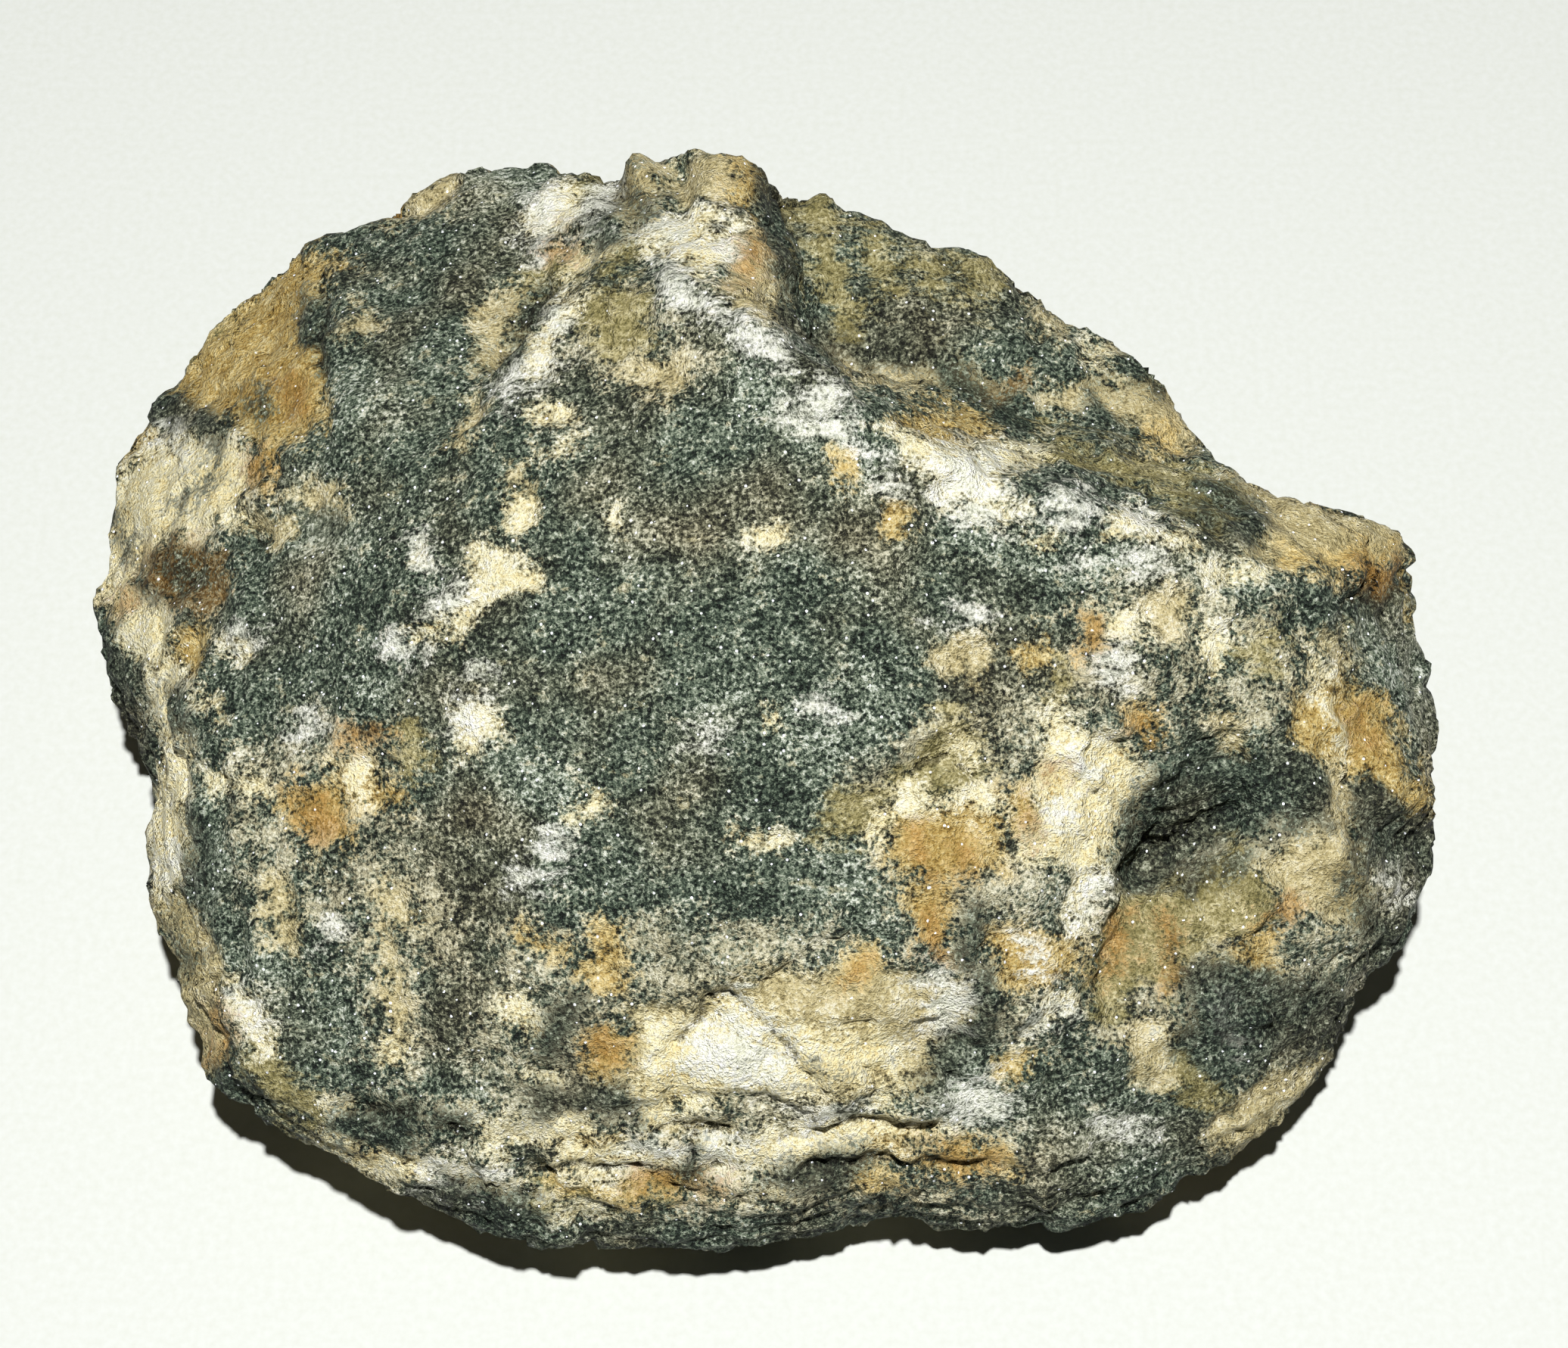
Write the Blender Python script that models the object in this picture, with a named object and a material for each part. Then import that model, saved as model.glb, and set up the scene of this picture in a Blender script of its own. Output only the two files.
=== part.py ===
# A hand specimen of pyroxenite: one broken stone, about 115 mm wide, resting on a small flat spot.
# Metres, +Z up, +X to the right of someone who looks at its front along +Y.

import math

import bmesh
import bpy
from mathutils import Matrix, Vector, noise
from mathutils.geometry import delaunay_2d_cdt

MM = 0.001

# The stone is drawn as someone sees it who looks down at its front. A form is a line of points
# (across, up, height) in mm: across and up are where the point is seen, and height is how far it
# stands above the ground. The three values below turn what is seen into a place in space.
LOOK_DOWN = math.radians(60)
TO_VIEWER = Vector((0, -math.cos(LOOK_DOWN), math.sin(LOOK_DOWN)))
LOOK_FROM = 300.0
MIDDLE_HEIGHT = 36.0

# How finely the stone is cut into triangles, and how near two points of its underside may be
EDGE_LENGTH = 4.5 * MM
NEAREST = 3.0 * MM
SAME_PLACE = 0.001 * MM
# Rounds in which the longer edges are split, each as a multiple of EDGE_LENGTH
SPLIT_ROUNDS = (8, 4, 2, 1.4, 1, 1)
# Smoothing of all but the crisp edges, and then of the hidden sides alone
SMOOTHINGS = 2
HIDDEN_SMOOTHINGS = 2
# An edge that folds more than this isn't turned, nor one that gains less than this by it
MOST_TURN = math.radians(25)
LEAST_GAIN = math.radians(0.6)
SORT_ALONG = Vector((0.531, 0.617, 0.581))

# The rim: the farthest edge that is seen all the way round, clockwise from the left
RIM = [
    (-54.6, 6.3, 15), (-54.1, 9, 15.5), (-53.4, 12.1, 16), (-52.8, 15.8, 16.5), (-51.8, 18.9, 17),
    (-50.2, 22.1, 17.5), (-48.1, 23.9, 18), (-46.5, 25.3, 18.5), (-45, 27.7, 19), (-42.6, 29.5, 20),
    (-41, 31.2, 21), (-38.8, 33.3, 23.5), (-35.8, 34.6, 26), (-33, 35.7, 27.5), (-30.4, 37.7, 28.5),
    (-27.2, 39.7, 29), (-23.5, 40.6, 29.5), (-20.4, 40.6, 30), (-18.4, 39.9, 30.5), (-14.1, 39.1, 32),
    (-13, 39.8, 34), (-11.6, 40.9, 35.5), (-10.1, 41, 36), (-9.3, 40.5, 36.5), (-6.7, 41.3, 38.5),
    (-5.3, 41.8, 39.5), (-3.7, 41.5, 39.5), (-2.1, 39.9, 38), (-0.1, 38.2, 34), (1.6, 38.3, 31.5),
    (3.9, 38.4, 31), (5.3, 37.2, 31), (8.4, 35.8, 31), (12.1, 34.6, 31), (15.6, 34.5, 30),
    (17, 33.8, 29.5), (18.1, 32, 29), (19.9, 29.5, 28.5), (22, 28, 28), (24.4, 27.4, 27.5),
    (27.7, 26, 27), (29.5, 25.1, 26.5), (31, 23.3, 26), (32.2, 20.9, 26), (33.1, 18.5, 26.5),
    (35.2, 16.1, 28.5), (37.6, 15.5, 29.5), (40.3, 14.6, 30), (42.4, 14.7, 29.5), (44.5, 13.7, 29),
    (46.6, 13, 28), (48.1, 12.4, 27), (49.3, 11.3, 26), (49.9, 9.8, 25), (49.7, 6.5, 23),
    (50, 3.2, 21.5), (50.9, 0.8, 20.5), (51.7, -1.6, 19.5), (52.1, -4.6, 18.5), (51.8, -7.6, 18.5),
    (51.8, -10.6, 17), (52, -12.9, 15.5), (51.7, -15.8, 14.5), (50.8, -18.7, 13.5),
    (49.4, -21.8, 12.5), (46.8, -23.5, 12), (45.7, -25.5, 11.5), (44.7, -27.8, 11),
    (44.3, -30.1, 10.5), (42.8, -31.5, 10), (40, -34.9, 9.5), (37.1, -37.5, 9), (34.5, -39.2, 9),
    (31.1, -40.9, 8.5), (29.7, -42.4, 8), (27.7, -43.1, 8), (23.4, -43.5, 8), (20, -43.2, 8),
    (15.7, -43.2, 8), (11.1, -43.1, 8), (8.3, -42.8, 8.5), (5.4, -43.2, 8.5), (3.7, -44.1, 8.5),
    (0.5, -44.8, 9), (-1.2, -45.2, 9), (-6, -45.4, 9.5), (-10, -44.9, 10), (-13.7, -44.7, 10.5),
    (-17.7, -45.4, 10.5), (-20.3, -44.9, 10.5), (-23.2, -44.1, 11), (-26.8, -42.6, 11),
    (-29.8, -41.1, 11.5), (-34, -39.6, 11.5), (-37.6, -36.6, 12), (-40, -36, 12),
    (-42.4, -34.8, 12), (-46, -33.3, 12), (-46.2, -31.8, 12), (-46.8, -29.4, 12.5),
    (-47.5, -27, 12.5), (-48.1, -24, 13), (-49.8, -21, 13), (-50.1, -18, 13), (-50.8, -15, 13.5),
    (-50.7, -12.9, 13.5), (-50, -9.9, 14), (-51, -8.4, 12), (-51.6, -5, 12), (-52.6, -1.8, 12.5),
    (-53.8, 0, 13), (-54.3, 2.5, 14),
]

# Edges and creases of the front, which stay crisp
CRISP_LINES = {
    "crest": [
        (-9, 32, 47), (-6.5, 31, 48.5), (-3.5, 29.3, 50), (0, 25.7, 50), (3, 23.5, 49.5),
        (5.5, 22, 49), (8, 20, 48), (13, 17.3, 46.5), (19, 15, 44.5), (25, 13, 43), (31, 11, 41),
        (37, 9.3, 38.5), (43, 7.6, 35.5),
    ],
    "valley behind the crest": [
        (1.8, 27.6, 33), (2.6, 25.8, 31.5), (5, 24.3, 30.5), (10, 23.2, 30), (14, 22.4, 30),
        (20, 20.2, 30.5), (25, 19.2, 30), (30, 18.3, 29), (33.1, 18.5, 26.5),
    ],
    "right wall of the big knob": [
        (-2.1, 39.9, 38), (-0.6, 35, 42), (0.2, 31, 44.5), (0, 25.7, 50),
    ],
    "foot of that wall": [(-0.1, 38.2, 34), (0.8, 35, 32), (1.4, 31, 32), (1.8, 27.6, 33)],
    "gully": [
        (-18.4, 36, 34.5), (-18.8, 33.5, 36), (-19.2, 31, 37), (-20.7, 28, 37.5), (-22.7, 25, 38),
        (-24.2, 22, 38.5), (-26, 19, 38.7),
    ],
    "lip over the gully": [
        (-16.9, 36, 37.5), (-17.2, 33.5, 40), (-17.8, 31, 41), (-19.3, 28, 41.5), (-21.3, 25, 41.8),
        (-22.8, 22, 41.5), (-24.6, 18.5, 40.8),
    ],
    "edge of the dark skin": [
        (-35.8, 34.6, 26), (-37.3, 30, 30.5), (-36.8, 26, 33.3), (-36.1, 23, 34.8),
        (-36.3, 20.5, 35.3), (-39, 18.1, 33.8), (-41, 15.8, 31.8), (-43, 13, 30), (-44.5, 11, 28.5),
    ],
    "under the dark skin": [
        (-38.2, 31, 28.3), (-37.7, 26, 31.7), (-37, 23, 33), (-37.2, 20.8, 33.4), (-39.8, 18.7, 31.9),
    ],
    "left shoulder": [
        (-44.5, 11, 28.5), (-45, 7, 28.5), (-46, 3, 27.5), (-47, -1, 26), (-47.8, -5, 24.8),
        (-46.8, -10, 24), (-46, -15, 22.8), (-45.3, -20, 21.5), (-44.8, -25, 20), (-43, -30, 18.5),
        (-40, -34, 17),
    ],
    "flake on the left, inner edge": [
        (-53, 4, 19.5), (-51.8, 1, 19), (-50.8, -3, 18.5), (-49.9, -6.8, 18), (-49.4, -9.2, 17),
    ],
    "flake on the left, top": [
        (-53.8, 3, 15.5), (-52.7, 0, 15.2), (-51.6, -3.4, 14.8), (-50.7, -7, 14.3),
    ],
    "front lip": [
        (-40, -34, 17), (-37, -35.6, 16.3), (-33, -38, 15.8), (-28, -39.4, 15.5), (-22, -40.4, 15.5),
        (-17, -41.5, 15), (-12, -41.3, 15), (-6, -41.5, 15), (0, -41, 15), (6, -40.3, 14.5),
        (12, -40.3, 14), (18, -40.7, 13), (24, -41, 12),
    ],
    "ledge above the front lip": [
        (-24, -37.2, 17.8), (-15, -37.5, 18.2), (-7.6, -37.2, 18.4), (0, -37, 18.4), (8, -36.8, 18),
        (15, -37.2, 17), (20, -38, 15.8),
    ],
    "front break": [
        (-27, -34.5, 20), (-20, -34.5, 20.7), (-12, -34, 21.3), (-5, -33.5, 21.8), (2, -33.2, 22),
        (8, -33, 21.7), (13, -33.2, 20.7), (20, -34.5, 18.7), (26, -35.5, 16.7),
    ],
    "step in the pale patch": [(15.5, -26, 26), (13.7, -29.3, 24.4), (10.7, -32, 22.6)],
    "foot of that step": [(16.8, -26.6, 24.2), (15, -30, 22.4), (12.2, -32.6, 21)],
    "right edge of the plate": [
        (28.5, -8.2, 32.3), (27.3, -11, 31), (26, -13.5, 30), (25.3, -17, 28.6), (24.5, -20.5, 27),
        (23.6, -24.5, 25), (24, -29, 21.9), (25.5, -33, 18.7),
    ],
    "foot of that edge": [(27.3, -18.3, 25), (26.2, -21, 24), (25.4, -24.8, 22.6)],
    "scoop, upper rim": [(28.5, -8.2, 32.3), (31.5, -5.3, 33.6), (37, -4.2, 33), (40.6, -6.4, 30.8)],
    "scoop, lower rim": [
        (40.6, -6.4, 30.8), (40.3, -9, 29), (38.8, -11.5, 27.7), (36.5, -14, 26.7), (33, -16, 25.7),
        (30, -17.7, 25.2), (27.3, -18.3, 25),
    ],
    "scoop, floor": [(28, -12.5, 25.4), (28.3, -15.5, 23.6), (31.5, -14.4, 23.2), (35.5, -11, 25.2)],
    "right crest": [
        (43, 7.6, 35.5), (41.6, 4, 35), (40.4, 0, 34), (40.6, -6.4, 30.8), (42, -9, 29),
        (43.7, -12, 27), (45.6, -16, 24), (46.3, -20, 20),
    ],
    "shelf, front edge": [(43, 7.6, 35.5), (46, 8.6, 32.5), (48.8, 9.8, 29)],
    "notch under the shelf": [(44, 6.2, 32.5), (46.6, 7.2, 29.3), (48.6, 8, 26.5)],
    "recess on the right": [(45.2, -11.8, 25), (48, -12.9, 21.8), (50.2, -13.2, 18.6)],
    "lump over the recess": [(45.4, -9.3, 27), (48.4, -9.8, 25.2), (50.4, -10.3, 22)],
}

# Points on the faces between those lines
SPOTS = {
    "plate, left part": [
        (-40, 9, 32), (-38, 2, 31.5), (-40, -6, 28.5), (-40, -14, 26.3), (-40, -22, 23.5),
        (-38, -30, 19.7), (-32, 16, 38), (-30, 8, 38.2), (-30, 0, 36), (-30, -10, 32), (-30, -20, 27),
        (-30, -30, 21.8),
    ],
    "plate, middle": [
        (-20, 16, 43), (-20, 8, 42), (-20, 0, 39.5), (-20, -10, 35), (-20, -20, 30), (-20, -29, 24.6),
        (-12, 26, 45), (-13, 31, 43.5), (-12, 18, 45.5), (-10, 10, 44.5), (-10, 0, 41.3),
        (-10, -10, 37), (-10, -20, 31.7), (-8, -28, 26), (-4, 22, 48), (0, 15, 47), (0, 6, 44.6),
        (0, -5, 40.5), (0, -15, 35), (0, -22, 31), (2, -28, 26.6),
    ],
    "plate, right part": [
        (8, 12, 45.6), (10, 4, 43), (10, -4, 39.8), (13, -8, 38), (10, -12, 36), (10, -20, 31.7),
        (8, -27, 27), (18, 10, 43.3), (20, 2, 40.7), (19, -6, 37), (19, -14, 33.3), (18, -21, 29.4),
        (20, -28, 23.4), (28, 8, 40.7), (28, 2, 39), (28, -4, 35.7), (36, 5, 37.7), (35, -1, 35.8),
        (23, -9, 34.4),
    ],
    "dark shoulder at the back left": [
        (-34, 29, 33), (-29, 31, 34.5), (-24, 32, 35.8), (-28, 35.5, 32.5), (-23, 36.5, 33),
        (-31, 24, 37), (-27, 25, 38.3), (-31, 20, 37.8),
    ],
    "ochre face": [(-42, 26, 26.3), (-43, 21, 27.8), (-46, 22, 22.7), (-40.5, 22.5, 30.3)],
    "cream face": [(-48, 17, 24), (-49.5, 12, 23), (-46, 14.5, 27), (-49.5, 20.3, 19.7)],
    "left side": [
        (-47.6, 8.5, 26.3), (-50, 5, 24), (-49.5, -12, 18.5), (-48.6, -18, 17.5), (-47.4, -25, 16.5),
        (-45, -31, 15), (-50.3, 0, 22),
    ],
    "small knob": [(-12.5, 38, 37.5), (-11, 37.5, 39), (-10, 39, 38), (-15.5, 34, 41)],
    "big knob": [
        (-8.5, 38, 40.5), (-6, 39, 42), (-4, 39.6, 42), (-7, 35.5, 43.5), (-3.5, 35, 44.3),
        (-8.5, 34, 43.8), (-4.5, 32, 45.8), (-1.5, 31, 46),
    ],
    "back right block": [
        (4, 33, 32), (8, 32, 33), (13, 31, 32), (8, 27, 32), (13, 26, 32), (17.5, 28, 30.8),
        (18, 24, 31.5), (23, 24, 30), (27.5, 22, 29),
    ],
    "shelf": [(38, 12.5, 34.5), (43, 11.2, 33), (46.5, 11.2, 30.5), (30, 14.5, 36), (24, 16, 38)],
    "right side": [
        (44.8, 0, 30), (45.4, -5, 28.3), (48.5, -7, 25.7), (48, 3, 26.5), (48.8, -15.5, 19),
        (48.4, -19.5, 16.8), (49.6, -2, 23.3),
    ],
    "lower right face": [
        (31, -20.5, 25), (37, -18.5, 25), (42, -16.5, 25), (43, -22, 20), (38, -24, 20.7),
        (32, -26, 21), (28, -30, 19.8), (34, -31, 16.7), (40, -29.5, 14.7), (37, -34, 13.2),
        (31, -36, 14.3), (42.5, -26, 17), (30, -38.6, 11.8),
    ],
}

# The underside, as rings that step in from the rim towards the flat spot:
# how far in (0 at the rim, 1 at the flat spot), and what is left of the rim's height
UNDERSIDE_RINGS = [(0.04, 0.62), (0.11, 0.36), (0.30, 0.22), (0.64, 0.12), (1.0, 0.0)]
FLAT_MIDDLE = Vector((-3.0, 7.0)) * MM
FLAT_HALF = Vector((16.0, 13.0)) * MM
# How far the middle of the underside dips, in mm, before the flat spot is cut level
FLAT_DIP = 2.0

# Flat breaks below the rim, by the direction that each faces. Each lies as far in as the rim allows.
BREAKS = {
    "front left": (-0.38, -0.70, -0.60),
    "front": (0.06, -0.76, -0.64),
    "front right": (0.52, -0.56, -0.64),
    "right": (0.88, 0.08, -0.47),
    "low right": (0.58, 0.22, -0.78),
    "back right": (0.55, 0.70, -0.45),
    "back": (0.08, 0.86, -0.50),
    "low back": (-0.15, 0.60, -0.79),
    "back left": (-0.62, 0.66, -0.42),
    "left": (-0.90, 0.05, -0.43),
    "low left": (-0.64, -0.18, -0.75),
}
RIM_CLEARANCE = 0.3 * MM

# Roughness of broken rock: size of the forms in mm, and how far they stand out
CHIP_SIZE = 9.0
CHIP_TILT_FRONT = 0.09
CHIP_TILT_BACK = 0.19
TILT_SPACING = 7.3
TILT_OFFSETS = (Vector((0, 0, 0)), Vector((17, 5, 29)), Vector((41, 23, 11)))
SWELL_SIZE = 14.0
SWELL_FRONT = 0.35
SWELL_BACK = 0.9
GRIT_SIZE = 5.0
GRIT = 0.45
GRIT_OFFSET = Vector((31, 7, 3))
# How squarely a face looks at the viewer (a cosine) where it starts to count as hidden, and the
# stretch below that over which the hidden roughness grows to its full strength
HIDDEN_FROM = 0.2
HIDDEN_BLEND = 0.4


def seen(across, up, height):
    """Place, in metres, of a point that is seen at (across, up) and stands at this height."""
    towards = height - MIDDLE_HEIGHT - up * math.cos(LOOK_DOWN)
    towards /= math.sin(LOOK_DOWN) - up * math.cos(LOOK_DOWN) / LOOK_FROM
    spread = 1 - towards / LOOK_FROM
    back = up * spread * math.sin(LOOK_DOWN) - towards * math.cos(LOOK_DOWN)
    return Vector((across * spread, back, height)) * MM


def clear_scene():
    for old in list(bpy.data.objects):
        bpy.data.objects.remove(old)


def front_of_stone():
    """The face that is seen: a net of triangles through the rim, the crisp lines and the spots."""
    points = list(RIM)
    edges = []
    for line in CRISP_LINES.values():
        row = []
        for point in line:
            if point not in points:
                points.append(point)
            row.append(points.index(point))
        edges += list(zip(row, row[1:]))
    for spots in SPOTS.values():
        points += spots
    flat = [Vector((across, up)) for across, up, _ in points]
    outline = list(reversed(range(len(RIM))))
    net = delaunay_2d_cdt(flat, edges, [outline], 1, SAME_PLACE / MM)
    verts_2d, net_edges, net_faces, verts_from, edges_from, _ = net

    bm = bmesh.new()
    verts = []
    for came_from in verts_from:
        if not came_from:
            raise ValueError("two lines of the stone cross away from their points")
        verts.append(bm.verts.new(seen(*points[came_from[0]])))
    for face in net_faces:
        bm.faces.new([verts[index] for index in face])
    for ends, came_from in zip(net_edges, edges_from):
        edge = bm.edges.get([verts[index] for index in ends])
        if edge and any(index < len(edges) for index in came_from):
            edge.smooth = False
    return bm


def add_underside(bm):
    """Closes the stone below its rim: rings drawn out from the rim, and the flat spot inside them."""
    front_points = set(bm.verts)
    rim_edges = [edge for edge in bm.edges if edge.is_boundary]
    rim = {vert: vert.co.copy() for edge in rim_edges for vert in edge.verts}
    ring_edges = rim_edges
    came_from = {vert: vert for vert in rim}
    for inwards, height_left in UNDERSIDE_RINGS:
        made = bmesh.ops.extrude_edge_only(bm, edges=ring_edges)["geom"]
        made = [item for item in made if isinstance(item, bmesh.types.BMEdge)]
        ring_edges = [edge for edge in made if edge.is_boundary]
        ring = {vert for edge in ring_edges for vert in edge.verts}
        next_from = {}
        for vert in ring:
            neighbours = [edge.other_vert(vert) for edge in vert.link_edges]
            (old,) = [neighbour for neighbour in neighbours if neighbour in came_from]
            next_from[vert] = came_from[old]
            start = rim[came_from[old]]
            out = Vector((start.x, start.y)) - FLAT_MIDDLE
            angle = math.atan2(out.y / FLAT_HALF.y, out.x / FLAT_HALF.x)
            on_flat = Vector((FLAT_HALF.x * math.cos(angle), FLAT_HALF.y * math.sin(angle)))
            side = Vector((start.x, start.y)).lerp(FLAT_MIDDLE + on_flat, inwards)
            dip = FLAT_DIP * MM * inwards * inwards
            vert.co = Vector((side.x, side.y, start.z * height_left - dip))
        came_from = next_from
    bmesh.ops.holes_fill(bm, edges=ring_edges)
    for edge in rim_edges:
        edge.smooth = False
    settle(bm)
    hidden = [vert for vert in bm.verts if vert not in front_points]
    bmesh.ops.remove_doubles(bm, verts=hidden, dist=NEAREST)
    bmesh.ops.triangulate(bm, faces=bm.faces)
    bmesh.ops.recalc_face_normals(bm, faces=bm.faces)
    settle(bm)


def settle(bm):
    """Puts points, edges and triangles in the order of their places, so that each run is the same."""
    bm.verts.sort(key=lambda vert: vert.co.dot(SORT_ALONG))
    bm.verts.index_update()
    for parts in (bm.edges, bm.faces):
        parts.sort(key=lambda part: sum(vert.co.dot(SORT_ALONG) for vert in part.verts))


def break_sides(bm):
    """Breaks off what bulges below the rim, one flat face at a time."""
    rim = [seen(*point) for point in RIM]
    for direction in BREAKS.values():
        facing = Vector(direction).normalized()
        farthest = max(point.dot(facing) for point in rim) + RIM_CLEARANCE
        cut_flat(bm, facing * farthest, facing)


def cut_flat(bm, point, facing):
    """Takes off what lies beyond a plane and closes the cut."""
    everything = list(bm.verts) + list(bm.edges) + list(bm.faces)
    bmesh.ops.bisect_plane(
        bm, geom=everything, plane_co=point, plane_no=facing, clear_outer=True, dist=SAME_PLACE
    )
    open_edges = {vert: vert for edge in bm.edges if edge.is_boundary for vert in edge.verts}
    while open_edges:
        start = min(open_edges, key=lambda vert: vert.co[:])
        loop = [start]
        while start:
            del open_edges[start]
            nexts = [edge.other_vert(start) for edge in start.link_edges if edge.is_boundary]
            nexts = [vert for vert in nexts if vert in open_edges]
            start = min(nexts, key=lambda vert: vert.co[:], default=None)
            loop += [start] if start else []
        bm.faces.new(loop)
    settle(bm)
    bmesh.ops.triangulate(bm, faces=[face for face in bm.faces if len(face.verts) > 3])
    bmesh.ops.recalc_face_normals(bm, faces=bm.faces)
    settle(bm)


def drop_crumbs(bm):
    """Takes out any crumb that a cut has parted from the stone."""
    reached = {max(bm.verts, key=lambda vert: vert.co.z)}
    edge_of_reach = list(reached)
    while edge_of_reach:
        vert = edge_of_reach.pop()
        nexts = {edge.other_vert(vert) for edge in vert.link_edges} - reached
        reached |= nexts
        edge_of_reach += nexts
    bmesh.ops.delete(bm, geom=[vert for vert in bm.verts if vert not in reached], context="VERTS")


def corner(vert, edge):
    """Angle at a corner of a triangle, across from an edge of it."""
    one, two = (end.co - vert.co for end in edge.verts)
    return one.angle(two, 0)


def turn_edges(bm):
    """Turns an edge between two nearly level triangles where that makes both of them rounder."""
    for edge in list(bm.edges):
        if not edge.smooth or edge.calc_face_angle(math.pi) > MOST_TURN:
            continue
        across = [vert for face in edge.link_faces for vert in face.verts if vert not in edge.verts]
        if bm.edges.get(across):
            continue
        if sum(corner(vert, edge) for vert in across) < math.pi + LEAST_GAIN:
            continue
        bmesh.utils.edge_rotate(edge, True)


def even_out(bm, longest):
    """Splits the longer edges, round after round, and turns edges in between."""
    for times in SPLIT_ROUNDS:
        long_edges = [edge for edge in bm.edges if edge.calc_length() > times * longest]
        bmesh.ops.subdivide_edges(bm, edges=long_edges, cuts=1)
        bmesh.ops.triangulate(bm, faces=[face for face in bm.faces if len(face.verts) > 3])
        settle(bm)
        turn_edges(bm)
        turn_edges(bm)


def soften(bm, verts, times):
    """Draws each point towards the middle of its neighbours, a few times over."""
    for _ in range(times):
        bmesh.ops.smooth_vert(
            bm, verts=verts, factor=0.5, use_axis_x=True, use_axis_y=True, use_axis_z=True
        )


def chip(place, size):
    """Broken rock: each cell of a pattern is a small plane with a tilt of its own."""
    _, cells = noise.voronoi(place / size)
    middle = cells[0]
    tilt = Vector([noise.noise(middle * TILT_SPACING + offset) for offset in TILT_OFFSETS])
    return tilt.dot(place / size - middle)


def roughen(bm):
    """Swells, chips and grit. They are gentle on the front, and stronger on the hidden sides."""
    bm.normal_update()
    moves = {}
    for vert in bm.verts:
        place = vert.co / MM
        hidden = (HIDDEN_FROM - vert.normal.dot(TO_VIEWER)) / HIDDEN_BLEND
        hidden = min(max(hidden, 0), 1)
        swell = SWELL_FRONT + (SWELL_BACK - SWELL_FRONT) * hidden
        tilt = CHIP_TILT_FRONT + (CHIP_TILT_BACK - CHIP_TILT_FRONT) * hidden
        out = swell * noise.noise(place / SWELL_SIZE)
        out += tilt * CHIP_SIZE * chip(place, CHIP_SIZE)
        out += GRIT * noise.noise(place / GRIT_SIZE + GRIT_OFFSET)
        moves[vert] = vert.normal * out * MM
    for vert, move in moves.items():
        vert.co += move


def stone_material():
    stone = bpy.data.materials.new("dark green pyroxenite")
    stone.use_nodes = True
    shader = stone.node_tree.nodes["Principled BSDF"]
    shader.inputs["Base Color"].default_value = (0.06, 0.08, 0.06, 1)
    shader.inputs["Roughness"].default_value = 0.6
    shader.inputs["Metallic"].default_value = 0
    return stone


def make_stone():
    bm = front_of_stone()
    add_underside(bm)
    break_sides(bm)
    even_out(bm, EDGE_LENGTH)
    soft = [vert for vert in bm.verts if all(edge.smooth for edge in vert.link_edges)]
    soften(bm, soft, SMOOTHINGS)
    bm.normal_update()
    hidden = [vert for vert in soft if vert.normal.dot(TO_VIEWER) < 0]
    soften(bm, hidden, HIDDEN_SMOOTHINGS)
    roughen(bm)
    cut_flat(bm, Vector((0, 0, 0)), Vector((0, 0, -1)))
    drop_crumbs(bm)
    low = [min(vert.co[axis] for vert in bm.verts) for axis in range(3)]
    high = [max(vert.co[axis] for vert in bm.verts) for axis in range(3)]
    middle = Vector(((low[0] + high[0]) / 2, (low[1] + high[1]) / 2, low[2]))
    bmesh.ops.transform(bm, matrix=Matrix.Translation(-middle), verts=bm.verts)
    mesh = bpy.data.meshes.new("pyroxenite")
    bm.to_mesh(mesh)
    bm.free()
    size = [(high[axis] - low[axis]) / MM for axis in range(3)]
    print("stone", [round(side, 2) for side in size], "mm,", len(mesh.polygons), "triangles")
    print("moved by", [round(value / MM, 3) for value in -middle], "mm")
    stone = bpy.data.objects.new("pyroxenite", mesh)
    mesh.materials.append(stone_material())
    bpy.context.scene.collection.objects.link(stone)
    return stone


clear_scene()
make_stone()
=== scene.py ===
# %% [markdown]
# A pyroxenite hand specimen: a dark green rock of small sparkling crystals, broken from its
# outcrop, with ochre, cream and white patches where it has weathered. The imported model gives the
# stone's size and main forms. This lesson loads it, gives it a fine skin, and finishes it.

# %% Load the stone
import math

import bmesh
import bpy
import numpy as np
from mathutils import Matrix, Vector, noise


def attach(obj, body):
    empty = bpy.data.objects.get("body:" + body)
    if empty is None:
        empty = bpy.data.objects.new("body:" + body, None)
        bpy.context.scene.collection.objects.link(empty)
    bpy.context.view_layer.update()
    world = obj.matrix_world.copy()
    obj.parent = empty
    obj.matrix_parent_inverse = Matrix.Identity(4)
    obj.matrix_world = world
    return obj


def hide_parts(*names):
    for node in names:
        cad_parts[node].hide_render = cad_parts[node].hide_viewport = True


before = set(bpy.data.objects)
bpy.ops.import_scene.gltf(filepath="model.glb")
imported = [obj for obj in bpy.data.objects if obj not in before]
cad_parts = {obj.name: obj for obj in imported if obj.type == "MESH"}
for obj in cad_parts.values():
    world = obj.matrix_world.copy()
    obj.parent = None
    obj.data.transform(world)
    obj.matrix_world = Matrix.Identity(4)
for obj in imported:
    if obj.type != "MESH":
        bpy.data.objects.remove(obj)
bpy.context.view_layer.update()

MM = 0.001

# %% [markdown]
# The stone is looked at from its front, steeply downwards. Every mark below is placed as it is
# seen from there: how far across and how far up from the middle of the view, in mm. This cell
# says where that viewing point is, so that each point of the stone knows where it is seen.

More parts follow.
